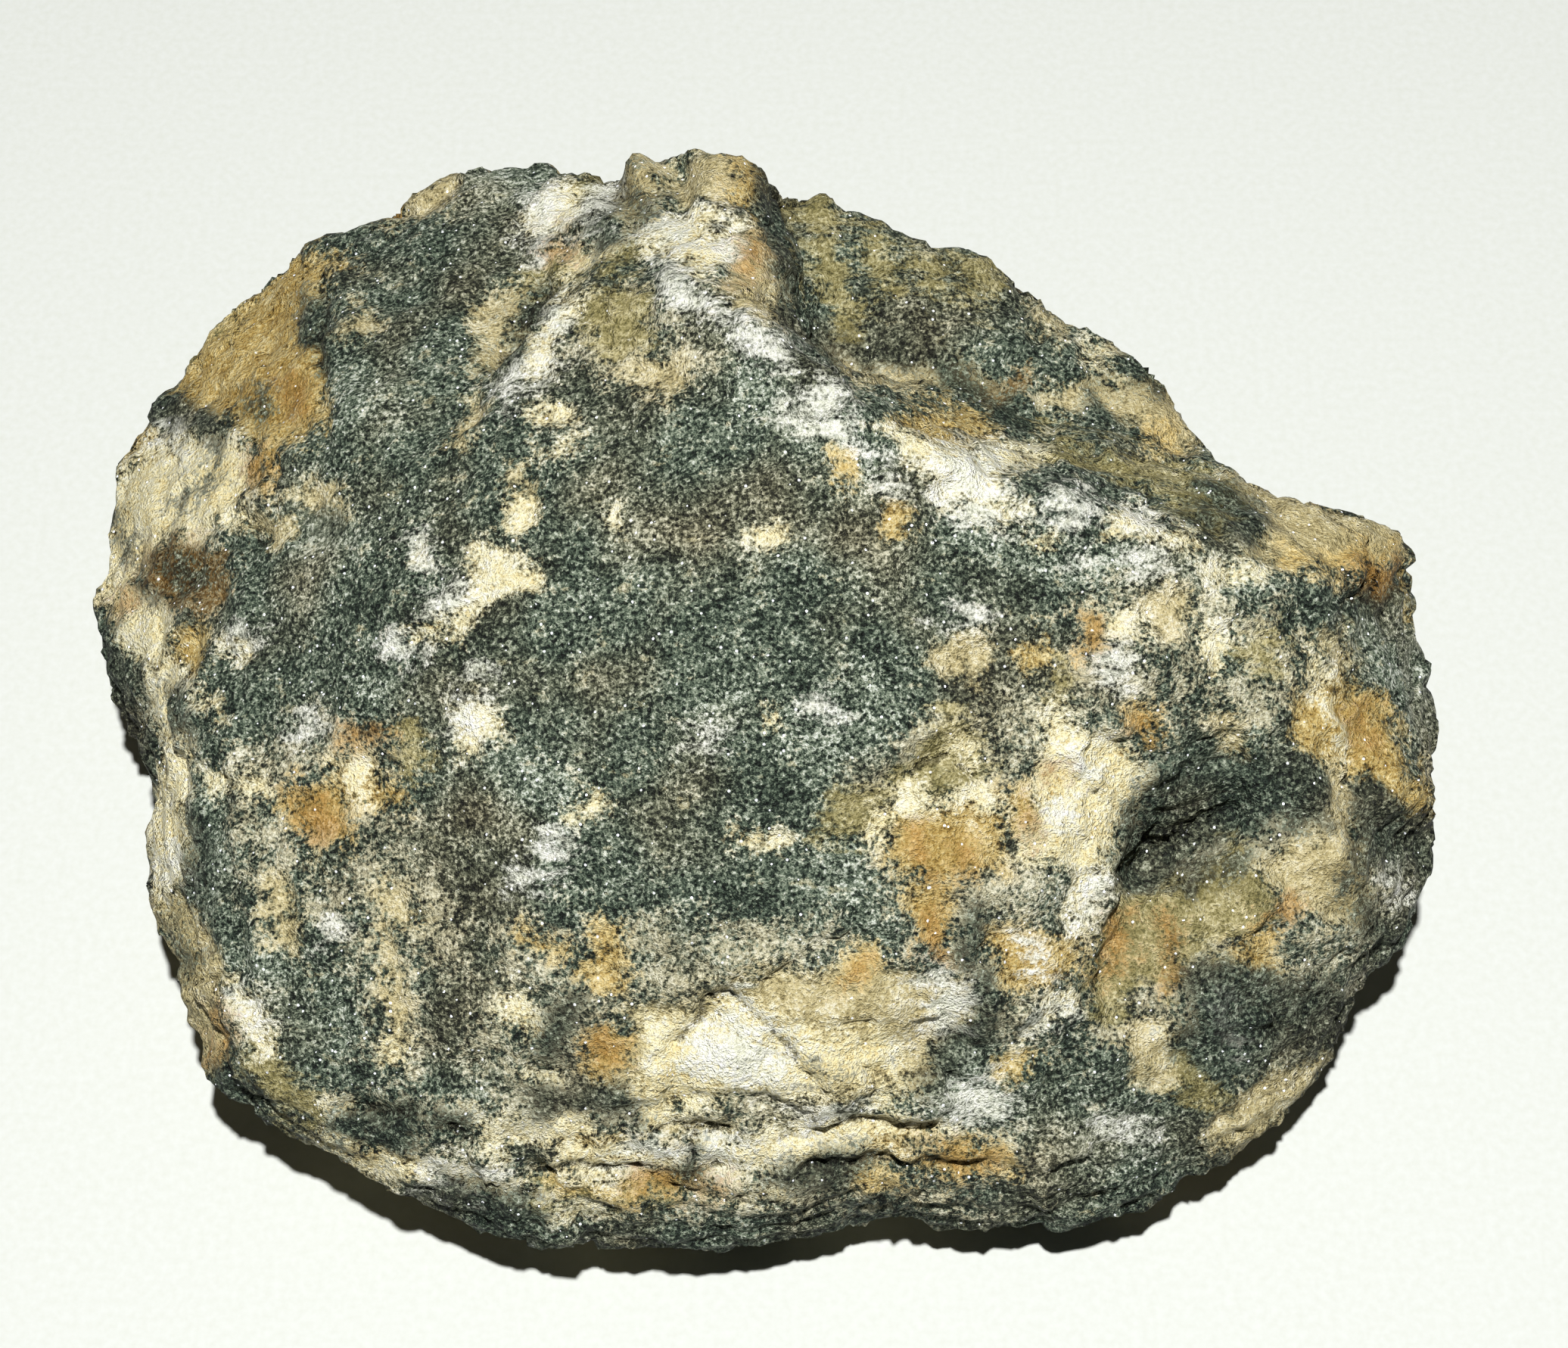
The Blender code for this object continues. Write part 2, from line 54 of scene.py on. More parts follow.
# %% The viewing point
LOOK_DOWN = math.radians(60)
LOOK_FROM = 300.0
VIEW_MIDDLE = np.array([2.230, -8.655, 36.0])
RIGHT = np.array([1.0, 0.0, 0.0])
UPWARDS = np.array([0.0, math.sin(LOOK_DOWN), math.cos(LOOK_DOWN)])
TOWARDS = np.array([0.0, -math.cos(LOOK_DOWN), math.sin(LOOK_DOWN)])


def as_seen(places):
    """(across, up) in mm of places in m, as the viewer sees them."""
    offset = places / MM - VIEW_MIDDLE
    nearness = LOOK_FROM / (LOOK_FROM - offset @ TOWARDS)
    return np.stack([offset @ RIGHT * nearness, offset @ UPWARDS * nearness], axis=1)


print("viewer at", VIEW_MIDDLE + LOOK_FROM * TOWARDS, "mm")

# %% [markdown]
# The skin of a broken rock has detail down to half a millimetre. The solid's large triangles are
# rounded off first, by smoothing a subdivided copy. A voxel remesh then covers the copy with even
# little squares, which any later relief can be pushed into.

# %% A fine skin over the solid
SKIN_STEP = 0.57 * MM
FLAT_SPOT_TOP = 0.1 * MM


def smoothed(bm, times):
    """Evens a mesh out, but leaves its flat spot on the ground alone."""
    loose = [vert for vert in bm.verts if vert.co.z > FLAT_SPOT_TOP]
    for _ in range(times):
        bmesh.ops.smooth_vert(
            bm, verts=loose, factor=0.5, use_axis_x=True, use_axis_y=True, use_axis_z=True
        )


def fine_copy(node, name):
    """A copy of a solid with a fine, even skin, as a new object."""
    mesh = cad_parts[node].data.copy()
    bm = bmesh.new()
    bm.from_mesh(mesh)
    bmesh.ops.remove_doubles(bm, verts=bm.verts, dist=1e-6)
    bmesh.ops.subdivide_edges(bm, edges=bm.edges, cuts=1, use_grid_fill=True)
    bmesh.ops.triangulate(bm, faces=bm.faces)
    smoothed(bm, 1)
    bm.to_mesh(mesh)
    bm.free()
    piece = bpy.data.objects.new(name, mesh)
    bpy.context.scene.collection.objects.link(piece)
    remesh = piece.modifiers.new("even skin", "REMESH")
    remesh.mode = "VOXEL"
    remesh.voxel_size = SKIN_STEP
    graph = bpy.context.evaluated_depsgraph_get()
    skin = bpy.data.meshes.new_from_object(piece.evaluated_get(graph))
    piece.modifiers.clear()
    piece.data = skin
    return piece


stone = fine_copy("pyroxenite", "stone_skin")
print("skin has", len(stone.data.vertices), "points")

# %% [markdown]
# Relief and colour both need the skin's points as numbers: where each is, which way it faces, and
# where it is seen. Faces that look away from the viewer, such as the underside, can't be placed
# as seen, so a value named front says how far each point belongs to the seen side.

# %% Read the skin
FRONT_EDGE = 0.30
bm = bmesh.new()
bm.from_mesh(stone.data)
smoothed(bm, 2)
bm.normal_update()
bm.verts.ensure_lookup_table()
places = np.array([vert.co[:] for vert in bm.verts])
facing = np.array([vert.normal[:] for vert in bm.verts])
seen_at = as_seen(places)
front = np.clip((facing @ TOWARDS + FRONT_EDGE) / FRONT_EDGE, 0, 1)
print("share of the skin on the seen side:", round(float(front.mean()), 2))

# %% [markdown]
# Natural unevenness is noise at several sizes. Blender's noise gives one value a point, so a small
# helper asks it for all of them. Ridged noise, which folds plain noise at zero, makes the sharp
# little crests between the dents that a hammer leaves in rock.


# %% Noise on the skin
def noise_field(size, seed, stretch=(1, 1, 1)):
    """One noise value a point, from about -1 to 1, with forms of the given size in mm."""
    scaled = places / MM / size * np.array(stretch) + seed * 17.31
    return np.array([noise.noise(Vector(place)) for place in scaled])


dents = noise_field(7.0, 1)
small_dents = noise_field(2.6, 2)
crumbs = noise_field(1.3, 3)
ridges = 1 - 2 * np.abs(noise_field(4.5, 4))
print("dents from", round(float(dents.min()), 2), "to", round(float(dents.max()), 2))

# %% [markdown]
# Broken rock also shows flat little faces with sharp edges. Voronoi noise splits space into cells.
# Within each cell the skin leans its own way, so it steps a little where one cell meets the next.

# %% Flakes
LARGE_FACE = 4.6
SMALL_FACE = 2.3
LEANING = 0.12
LEANS = np.array([[2.1, 5.3, 3.7], [4.3, 1.9, 6.1], [5.9, 3.1, 2.7]])


def flat_faces(size, seed):
    """How far each point lies out on its leaning little face, in mm, for faces of a size in mm."""
    scaled = places / MM / size + seed * 9.7
    centres = np.array([noise.voronoi(Vector(place))[1][0][:] for place in scaled])
    return size * np.sum((scaled - centres) * np.sin(centres @ LEANS), axis=1)


flakes = LEANING * flat_faces(LARGE_FACE, 1) + LEANING * flat_faces(SMALL_FACE, 2)
print("flakes from", round(float(flakes.min()), 2), "to", round(float(flakes.max()), 2), "mm")

# %% [markdown]
# The front edge and the hidden sides break along thin layers. They show as ledges: going down the
# side, the skin steps in and out every millimetre or two. A saw-tooth of the height does this, and
# noise bends it, so that no ledge runs level for long. It is strong only on steep faces.

# %% Ledges on the steep sides
LAYER = 2.1
LEDGE_OUT = 0.58
RISING, FALLING = 0.8, 0.2
SLANT = 0.10
height = places[:, 2] / MM
tilted = height + SLANT * places[:, 0] / MM + 1.6 * dents + 0.5 * small_dents
saw = (tilted / LAYER) % 1.0
steep = np.clip((0.80 - facing[:, 2]) / 0.35, 0, 1) * np.clip(height / 3, 0, 1)
rearward = front * np.clip(2 * facing[:, 1], 0, 1)
teeth = np.minimum(saw / RISING, (1 - saw) / FALLING) - 0.5
ledges = LEDGE_OUT * steep * (1 - 0.75 * rearward) * teeth
print("points on steep faces:", int((steep > 0.5).sum()))

# %% [markdown]
# Cracks and small steps that can be made out are given as lines of seen places. A crack
# is a narrow groove along its line. A step lifts the skin on one side of its line, and the lift
# fades out a few millimetres away, as where a thin flake has come off.

# %% Cracks and steps
GROOVE_HALF = 0.6
STEP_RISE = 0.8
LIFT_FADES = 3.5
FAR_OFF = 3.0
# Cracks: depth and line; steps: lift and line, in mm
CRACKS = [
    (0.7, [(-4.5, -24.6), (-2.8, -27), (-0.4, -28.8), (2.2, -31.6)]),
    (0.6, [(-4.6, -24.8), (-6.2, -26), (-6.8, -27.6), (-8.6, -29)]),
    (1.0, [(3, -36.5), (6, -35.7), (11.5, -35.8)]), (0.9, [(-10, -36.5), (-7, -36.2), (-4, -36.6)]),
    (1.0, [(-34, -34.3), (-32, -34.8), (-30, -34.6)]), (0.7, [(-26, -30.7), (-24, -30.7)]),
    (0.7, [(-26.3, -36), (-25, -37.5)]), (0.9, [(10, -8), (13, -6), (15.5, -8)]),
    (0.9, [(-43.2, 12.4), (-41.4, 10.6)]), (0.8, [(-36.2, 31), (-37.2, 26.5), (-36.2, 23.5)]),
    (0.9, [(-19, 31), (-20.6, 28), (-22.5, 25)]), (0.9, [(-20, -39.6), (-12, -39.2), (-5, -39.6)]),
    (0.8, [(1, -39.2), (8, -38.6), (16, -39.2)]), (0.8, [(-7.3, -36.2), (-7.7, -40.4)]),
]
STEPS = [
    (0.7, [(-4.5, -24.6), (-2.8, -27), (-0.4, -28.8), (2.2, -31.6)]),
    (0.6, [(-8.6, -29), (-6.8, -27.6), (-4.6, -24.8)]),
    (0.9, [(15.8, -26.2), (14, -29.3), (11, -32.2)]), (0.6, [(-36.4, 30), (-36.6, 26), (-36, 21)]),
    (0.6, [(-29, 3.4), (-26, 4.6), (-22.5, 6.8)]), (0.7, [(8, -7.6), (10.4, -5.2), (13.4, -4.4)]),
    (0.5, [(-12, -33.8), (-4, -33), (6, -33)]), (0.6, [(-44, -9), (-43, -16), (-42, -24)]),
]
# Lumps and hollows: across, up, radius and how far out, in mm
LUMPS = [
    (-11.2, 40.0, 1.7, 2.2), (-9.0, 40.2, 1.3, -2.2), (-8.2, 37.6, 1.2, -1.3), (-4.6, 40.2, 2.6, 0.9),
    (-13.8, 38.6, 1.4, -1.0), (0.7, 38.4, 1.6, -1.6), (0.2, 35.6, 1.5, -1.0), (3.4, 37.6, 1.8, 0.9),
    (-34, 27.6, 1.1, 0.7), (-36.6, 11.6, 2.4, -0.7), (-47.6, 8.2, 2.6, -0.9), (14.6, 16.6, 1.6, 0.7),
    (22, 14.4, 1.8, 0.6), (-24.6, -3.2, 1.4, 0.6), (-16.6, 33.2, 1.6, -0.8), (-18.6, 36.4, 1.8, 0.8),
    (27.6, -15.4, 1.6, -1.0), (-5, -30, 3.0, 0.7), (19.6, -27, 1.6, 0.6), (49.4, -13, 2.0, -0.9),
    (43.6, -4.4, 1.0, 0.8), (-15, -36, 1.6, 0.5), (8.6, -35, 1.6, 0.6),
]


def to_line(at, line):
    """How far each seen place is from a line, in mm, and on which side of it (1 is left)."""
    best = np.full(len(at), 1e9)
    side = np.ones(len(at))
    for start, end in zip(line, line[1:]):
        start, along = np.array(start), np.subtract(end, start)
        offset = at - start
        share = np.clip(offset @ along / max(along @ along, 1e-9), 0, 1)
        away = np.linalg.norm(offset - share[:, None] * along, axis=1)
        closer = away < best
        best[closer] = away[closer]
        side[closer] = np.sign(along[0] * offset[:, 1] - along[1] * offset[:, 0])[closer]
    return best, side


bent = seen_at + 0.7 * np.stack([noise_field(1.9, 5), noise_field(1.9, 6)], axis=1)
grooves = np.zeros(len(places))
to_crack = np.full(len(places), FAR_OFF)
for depth, line in CRACKS:
    away, _ = to_line(bent, line)
    to_crack = np.minimum(to_crack, away)
    grooves = np.minimum(grooves, -depth * np.exp(-((away + 0.25 * small_dents) / GROOVE_HALF) ** 2))
lifts = np.zeros(len(places))
for lift, line in STEPS:
    away, side = to_line(seen_at, line)
    lifts += lift * np.clip(0.5 + side * away / STEP_RISE, 0, 1) * np.exp(-((away / LIFT_FADES) ** 2))
well_seen = np.clip((facing @ TOWARDS + 0.05) / 0.30, 0, 1)
for across, up, radius, out in LUMPS:
    away = np.linalg.norm(seen_at - (across, up), axis=1)
    lifts += out * np.exp(-((away / radius) ** 2))
lifts *= well_seen
print("deepest groove", round(float(grooves.min()), 2), "mm")

# %% [markdown]
# Next, where each kind of mineral or stain lies. A wide patch is an area with an outline of seen
# places; a thin one is a streak, below. The outlines are drawn. The list goes from the
# kinds that lie under the others to those that lie over them.

# %% Areas, by kind
# Most areas are minerals and stains; a few haze and dark ones are painted light and shade, as noted
AREAS = {
    "dust": [
        [(-22, -21), (-16, -20), (-12, -21), (-14, -27), (-16, -33), (-20, -35), (-23, -33), (-24, -27)],
        [(-13, -20), (-4, -20), (4, -19.6), (4, -24), (-4, -25.6), (-13, -26)],
        [(6, -10), (12, -4), (18, -3), (24, -3), (29, -9), (26, -16), (25, -25), (19, -29), (15, -25),
         (10, -21)],
        [(26, -14), (36, -13), (44, -9), (47, -12), (47, -19), (44, -25), (40, -28), (34, -25),
         (30, -29), (25, -29)],
        [(23, 5), (30, 7), (39, 5), (43, -1), (36, -4), (28, -3), (23, 0)],
        [(-42, -7), (-36, -4), (-31, -6), (-30, -11), (-36, -13), (-41, -11)],
        [(-36, -34), (-26, -35), (-12, -35), (0, -34), (14, -36), (20, -38), (14, -41), (-6, -42),
         (-22, -41)],
        [(-16, 29), (-9, 29), (-6, 25), (-10, 23), (-15, 25)],
        [(-36, -17.6), (-33, -15), (-30, -15.4), (-28, -17.4), (-25.6, -20.2), (-27, -22.4), (-30, -22),
         (-30, -26), (-29, -29.6), (-30, -32), (-32.4, -30), (-33.2, -25), (-34.6, -21)],
        [(-43, -11), (-39, -10.6), (-38, -14), (-37.4, -18.6), (-41, -20), (-42.4, -16)],
    ],
    "haze_and_painted_light": [
        [(-44.6, -20), (-41.5, -19.5), (-38.6, -18), (-37.6, -20), (-39.5, -22), (-41, -26),
         (-43.5, -24)],
        [(-46.4, -8), (-45, -8), (-44.4, -12), (-44.4, -16), (-45.4, -17.8), (-46.8, -12)],
        [(-41.5, -12), (-39.6, -11.4), (-38.8, -13.5), (-39.4, -16), (-38, -18.5), (-40.8, -19.5),
         (-41, -16)],
        [(-36.3, 25), (-35, 24.5), (-33, 22.2), (-32.4, 21), (-30.6, 21), (-31, 20.2), (-34, 20),
         (-36, 20.4)],
        [(-40.6, 13), (-38, 15.4), (-35, 15), (-34.2, 12), (-35.4, 9.4), (-37, 8.4), (-38.8, 8.8),
         (-40, 10.4)],
        [(-33.6, -0.4), (-31.8, -0.4), (-31.4, -2.6), (-32, -3.9), (-33.4, -2.4)],
        [(-40.4, 7), (-38, 6.6), (-36, 7.4), (-35.4, 6), (-37.5, 5), (-40, 5.4)],
        [(-5.4, 26.6), (-2, 24), (1, 22.4), (4, 19.6), (7, 17), (9, 14.6), (6, 14), (2, 16.4), (-2, 20),
         (-5, 22.6)],
        [(16, 11.6), (20, 9.8), (26, 10), (30, 10), (30, 6.6), (26, 6), (22, 7.4), (18, 8.4), (14, 11)],
        [(-23.8, -31), (-22, -30.4), (-20.4, -32), (-19, -35), (-23, -35), (-24.2, -33)],
        [(10.6, -33.4), (12, -31.4), (14.4, -29.6), (17, -30), (19, -31), (20, -34), (18, -36),
         (12, -36.2)],
        [(0, -34.8), (3, -33.6), (6, -32.6), (10, -33.2), (10.4, -34.6), (7, -35.6), (3, -37),
         (0, -37.4)],
        [(18.6, -34), (22, -35), (26, -34.4), (29, -36), (28, -38.6), (23, -39.4), (19.6, -37.6)],
        # Painted light: this area makes the right edge paler, though it faces away from the lamp
        [(44, 5.6), (48, 5.4), (50.4, 3), (52, -4), (52.4, -9), (50.6, -8), (48.6, -3), (45, 0.6),
         (43.4, 2)],
        [(15.6, -16.8), (18, -15.4), (20.4, -15.2), (22.2, -17.4), (21.6, -19.6), (19, -20),
         (16.4, -19.8)],
        [(-12, -20), (-8, -19.4), (-3, -21), (2, -20.6), (3, -22.6), (-2, -24), (-8, -25), (-12, -24)],
        [(3, -12.6), (8, -13.4), (9.6, -16.6), (9, -20), (6, -20.4), (4, -17)],
        [(35.4, -20), (38, -18.4), (44, -20), (46, -22.6), (43, -24), (39, -23)],
        [(-24.4, 36.6), (-21, 36.4), (-19.4, 38), (-21, 40.4), (-25.6, 40.4), (-25.6, 38)],
        [(46.6, -15), (49, -14.6), (50.6, -16.4), (49.6, -19.6), (47, -18)],
    ],
    "olive": [
        [(20, 19.2), (23, 18.7), (26, 17.5), (30, 17.1), (34, 15.8), (38, 14.6), (36, 12.8), (29, 14.4),
         (22, 17.2)],
        [(11.2, -4.8), (12.6, -3), (14.4, -3.8), (16.2, -7), (15.4, -9.2), (12, -9.8), (9.4, -9.4),
         (10.4, -7)],
        [(-16, 29.8), (-14, 30.2), (-11, 30), (-10.4, 28.5), (-11, 26), (-14.6, 25.6), (-16, 27.4)],
        [(1, 38), (3.6, 38.2), (4.8, 36.4), (3.4, 33.6), (1, 33.8)],
        [(10, 33.8), (12.6, 33.2), (12.4, 30.4), (10.4, 30.2)],
        [(13.6, 33), (17, 32.6), (16.6, 29.6), (13.4, 30)],
        [(25, -17.2), (29, -17.4), (33, -15.8), (36, -13), (38, -14.8), (39, -18), (37, -20),
         (34.8, -22), (31, -22.2), (30.6, -25.6), (28.4, -24.6), (27, -26.4), (25.6, -28.8),
         (24.2, -25), (24.8, -20)],
        [(-41.6, -27), (-40.4, -29.6), (-38.6, -32), (-36.4, -35), (-37.6, -36.2), (-40.4, -33.4),
         (-42.6, -30)],
        [(36.8, 4.2), (39.4, 3.4), (39.8, 0), (38, 0.2), (36.4, 1.4)],
        [(-31, -4.2), (-29.2, -4), (-28.4, -6), (-29.6, -8.8)],
        [(-20, -40.2), (-14, -40), (-7, -40.2), (-8, -41.4), (-13, -41.4), (-19, -42.2)],
        [(2, -12.8), (4, -9.6), (8.4, -9.2), (9.6, -11.4), (8, -13), (5, -12.4)],
        [(-46.4, 28.2), (-43.4, 29.8), (-43, 27.4), (-45, 25.6), (-47, 24.6)],
    ],
    "tan": [
        [(-50.3, -17), (-47.6, -17.6), (-46.2, -19.6), (-44.6, -22), (-44.4, -26), (-44.6, -29.5),
         (-45, -31.5), (-46.8, -33.4), (-47.6, -27), (-48.6, -24), (-49.8, -20.5)],
        [(-39.6, 13.6), (-37.6, 15), (-35.4, 14.6), (-34.8, 12.8), (-37, 12.6)],
        [(-35.2, 27.6), (-34, 28.6), (-32.9, 28.6), (-32.4, 27.4), (-33.4, 26.9), (-34.8, 26.7)],
        [(-24.4, 27.8), (-22, 30), (-20, 31.2), (-19.8, 30.4), (-22.4, 26.2), (-23.5, 24),
         (-24.4, 25.6)],
        [(-13.2, 24.6), (-12, 25.4), (-10.4, 24.7), (-8, 25.1), (-7.2, 24.6), (-8.6, 21.8),
         (-11.6, 22.6)],
        [(-32.6, -17), (-31, -16.4), (-28.8, -18.6), (-28.4, -20), (-30.4, -20), (-31.6, -18.8)],
        [(36, -33.2), (38, -31.8), (40, -31.1), (42.8, -30.5), (43.2, -31.4), (39.6, -35.4),
         (35.2, -38.4), (33, -36.6), (34.8, -35)],
        [(-9.8, 39.8), (-7, 41.4), (-5.2, 41.8), (-4.4, 39.6), (-3.2, 37.6), (-5, 37), (-8, 37.6)],
        [(-4.2, 34.4), (-2.4, 35.3), (-1.1, 34.6), (-0.3, 32), (-0.2, 29), (-0.8, 27.4), (-4.2, 30.2)],
        [(-13.2, 39.2), (-11.6, 41.2), (-10, 41.2), (-9.4, 38.6), (-10.2, 36.6), (-12.6, 36)],
        [(34, 16.2), (36.6, 15.9), (40, 14.8), (44.8, 13.8), (49, 12), (50, 10.4), (49, 9), (46, 8.6),
         (43, 7.5), (41, 8), (38, 8.4), (36, 9.4), (38.6, 11), (37.6, 13)],
        [(38, -14.6), (42, -12.8), (44, -11.6), (46, -14.6), (46.6, -17.6), (46, -19.8), (43, -19.2),
         (39.4, -18.4)],
        [(20.5, 21.4), (22, 23), (24.4, 24), (27, 22.8), (29.6, 23.4), (32, 21.4), (33.2, 18.4),
         (31, 18), (29, 18.8), (26, 20.8), (24.6, 22), (23, 20.8)],
        [(12, 2), (14.6, 2.9), (16, 3.1), (15, 0), (14.8, -1.2), (13.6, -0.4), (12.2, 0.9)],
        [(28.4, 6), (30, 6.9), (32.6, 6.4), (33, 5), (30.8, 2.6), (29.2, 3.2), (27.8, 4.6)],
        [(3, 25.5), (6, 24.9), (10, 24.1), (13.4, 22.6), (11, 22.3), (7, 22.8), (5, 23.8)],
        [(27.4, -28.6), (29, -27.5), (30.8, -27.8), (31.2, -30), (30, -32.2), (27.8, -32)],
        [(-32.4, 35.6), (-30, 38), (-27, 39.9), (-25.7, 40), (-26, 38), (-27.4, 36.6), (-30, 36.2),
         (-31.6, 35.2)],
        [(42.6, -7), (44.6, -8), (45.4, -11), (45.8, -14), (44.2, -14.4), (43.2, -11)],
        [(-12.4, -26.4), (-10, -25.6), (-5, -24.8), (-3, -23.4), (2, -23.4), (6, -20.8), (8, -22.6),
         (13.6, -24), (14.6, -26.6), (12, -29.4), (10, -33), (4, -33.2), (-4, -33.4), (-12, -33.6),
         (-14, -32), (-12.6, -29)],
    ],
    "ochre": [
        [(-38.9, 33.6), (-37.2, 32.9), (-34.2, 32), (-36.5, 31.1), (-37.6, 30), (-38.2, 29),
         (-37.7, 26.5), (-37, 25), (-36.2, 23.5), (-36.1, 21), (-36.9, 19.9), (-39.3, 18.2),
         (-40.5, 17.2), (-41.8, 15.1), (-42.6, 15.4), (-41, 18), (-43.8, 19.6), (-43.5, 20.6),
         (-46, 21.1), (-47.6, 22.4), (-49.2, 23), (-46.6, 26), (-44, 29), (-42.6, 30.6), (-40, 32.8)],
        [(-49.4, 1), (-48.8, 3.4), (-47, 3.9), (-46.1, 2.2), (-47, 0.3), (-48.8, 0)],
        [(-51, 19.9), (-50, 18.6), (-50.6, 17.4), (-52.4, 17.6), (-52, 19.4)],
        [(-36, -8.6), (-35.5, -7), (-34.4, -6.2), (-33, -6.2), (-31.4, -8.6), (-30, -9.2),
         (-30.4, -10.8), (-32.5, -9.9), (-35, -10), (-34.6, -12.8), (-37, -13.8), (-38.4, -11.4),
         (-41.2, -10.8), (-38.6, -9.2)],
        [(-5.2, 41.7), (-3.4, 41.5), (-2.3, 39.6), (-2.4, 36), (-3.4, 37.4), (-4.6, 39.4)],
        [(8.4, 20.3), (10, 21.1), (13, 21.1), (15.8, 20), (17.2, 18.9), (14.6, 18.2), (12.6, 18.1),
         (9.4, 19.8)],
        [(41, -2.6), (42, -0.6), (43.6, 0.2), (45, -1), (46.8, -2), (48.8, -5), (49.2, -7), (51, -9.6),
         (50.4, -11.2), (48.6, -10), (46.4, -8.4), (44, -7), (42, -6.4), (41, -5)],
        [(9.8, -10.8), (13, -10.4), (15.4, -10), (17, -11), (17.4, -13.4), (17, -16), (13, -16.2),
         (9.4, -16), (8.6, -13.6)],
        [(9.2, -16.8), (13, -16.4), (13.2, -19), (12.6, -21.2), (11.2, -20.6), (9.8, -19)],
        [(16.6, -20.6), (20, -20.4), (23.4, -21), (23.6, -23.4), (21, -24.9), (17.6, -24.6)],
        [(17, -9), (19.6, -8.8), (20.2, -11), (18.8, -13.6), (17.4, -12)],
        [(-16.5, -22.8), (-15.2, -19.4), (-14.2, -19.6), (-12.7, -23.4), (-12.5, -25), (-14.2, -25)],
        [(-15.7, -29), (-14, -28.5), (-12.3, -29.6), (-13, -31), (-14.6, -32.2), (-15.5, -30.6)],
        [(4, -22.6), (7, -21), (7.8, -23), (6, -25), (3.6, -24.4)],
        [(23.4, 3.8), (24.7, 4.1), (25, 2), (24, 1.3)],
        [(18, 2), (20, 2.6), (20.4, 1), (19.4, 0.3)],
        [(11, -37.6), (14, -37), (17, -38), (18, -39.7), (12, -39.5), (10.4, -38.6)],
        [(5, -39), (8, -38.9), (10, -40), (8.4, -40.6), (6, -40.2)],
        [(5.6, -36.7), (8, -35.8), (11, -36), (11.7, -36.7), (9, -38.2), (6, -38)],
        [(38.8, 10), (42, 9.4), (45, 10.4), (48.6, 10.4), (47, 9), (43, 8), (40, 8.6)],
        [(36.6, -20), (38.4, -20.4), (38.6, -23.4), (37, -23.6), (36, -21.8)],
        [(16.4, -30.2), (19.4, -30), (20, -31.4), (17.4, -32)],
    ],
    "cream": [
        [(-50, 18.5), (-47.8, 18.8), (-45.3, 18.2), (-44, 18.6), (-42.5, 17.6), (-42.2, 16),
         (-43, 12.6), (-44.6, 11.2), (-47.2, 10.5), (-49.4, 10.4), (-51.2, 7.2), (-50, 5.6),
         (-48.8, 4.8), (-49.6, 1), (-47.4, -0.4), (-48.7, -1.6), (-48.2, -3.4), (-47.5, -5),
         (-47.2, -9), (-47.4, -11), (-47, -13), (-47, -16), (-50.4, -18), (-51.2, -15), (-51, -12.5),
         (-50.2, -9), (-49.6, -6.3), (-50.4, -2.5), (-51, 0), (-51.6, 2.4), (-52.6, 5), (-54.6, 6.6),
         (-54.3, 9), (-53.5, 12.5), (-52.6, 16)],
        [(-46, -7.4), (-44.8, -7.6), (-42.4, -8.5), (-41.9, -7.1), (-40.4, -9.8), (-43, -9.5),
         (-45, -8.9)],
        [(-35.4, -7.2), (-34.4, -6.4), (-33, -6.4), (-32, -8), (-33, -9.4), (-35, -9)],
        [(-26.1, -2), (-24.6, -1.3), (-23.9, -2.4), (-22.2, -4.2), (-24, -5.1), (-24.8, -6.5),
         (-26.3, -7)],
        [(-25, 6), (-24.4, 8), (-23.5, 10.2), (-22, 9.9), (-20.8, 8.8), (-19.2, 8.4), (-19.6, 6.6),
         (-22.6, 6.4), (-24, 5.3)],
        [(-19.6, 20.6), (-18, 21.3), (-16.8, 20.4), (-17.2, 19.5), (-18.6, 19.4)],
        [(-19.9, 18), (-18.6, 17.2), (-17, 18.3), (-15.9, 18.6), (-16.4, 17.5), (-18, 16.6),
         (-19.4, 17)],
        [(-13, 34), (-10, 36.7), (-6, 36.2), (-5, 35.2), (-4, 36.2), (-2.8, 35.6), (-4.6, 32.2),
         (-6, 31.3), (-9.6, 33), (-11.6, 34)],
        [(8, 19.7), (9.4, 19.3), (12, 18.4), (15, 18), (18, 18.7), (20.8, 18.4), (21.4, 17.5),
         (17.6, 15.6), (17, 14), (20, 12.7), (18, 11.4), (15.4, 12.6), (13, 14), (10, 16.4)],
        [(26, 12.7), (28, 13.1), (30.4, 11.4), (27.4, 10.8), (25.2, 10.8)],
        [(19.6, -10), (21.4, -2.4), (22.2, -2.5), (24.4, -4.6), (26.6, -5), (28.4, -7.4), (28.6, -9),
         (27, -12), (25.8, -13.6), (25, -16), (22.8, -15.8), (20, -14.8), (17.6, -15)],
        [(9.2, -9.4), (12, -9.6), (16, -9.2), (17.4, -10), (17, -11), (13.4, -10.2), (9.8, -10.9),
         (8.2, -13.4), (6.4, -12.6)],
        [(22.2, -18), (22.6, -15.8), (24.9, -15.8), (24.7, -20), (23.9, -21), (23, -20.4)],
        [(-22.5, -25.6), (-21, -24.7), (-19.8, -25), (-19.2, -27), (-19.6, -28.2), (-21.6, -27.6)],
        [(-11.6, -26.6), (-9.6, -27), (-7.6, -26), (-5, -25), (-2, -25.6), (1, -27), (6, -28),
         (10, -29.4), (9, -32.4), (4, -32.2), (1, -34), (-4, -33), (-7, -34), (-10.4, -35.6),
         (-12, -33.4), (-11.4, -30)],
        [(-24, -36), (-22, -35.4), (-18, -35), (-16, -35.2), (-15.8, -36.5), (-19, -37), (-22.6, -37)],
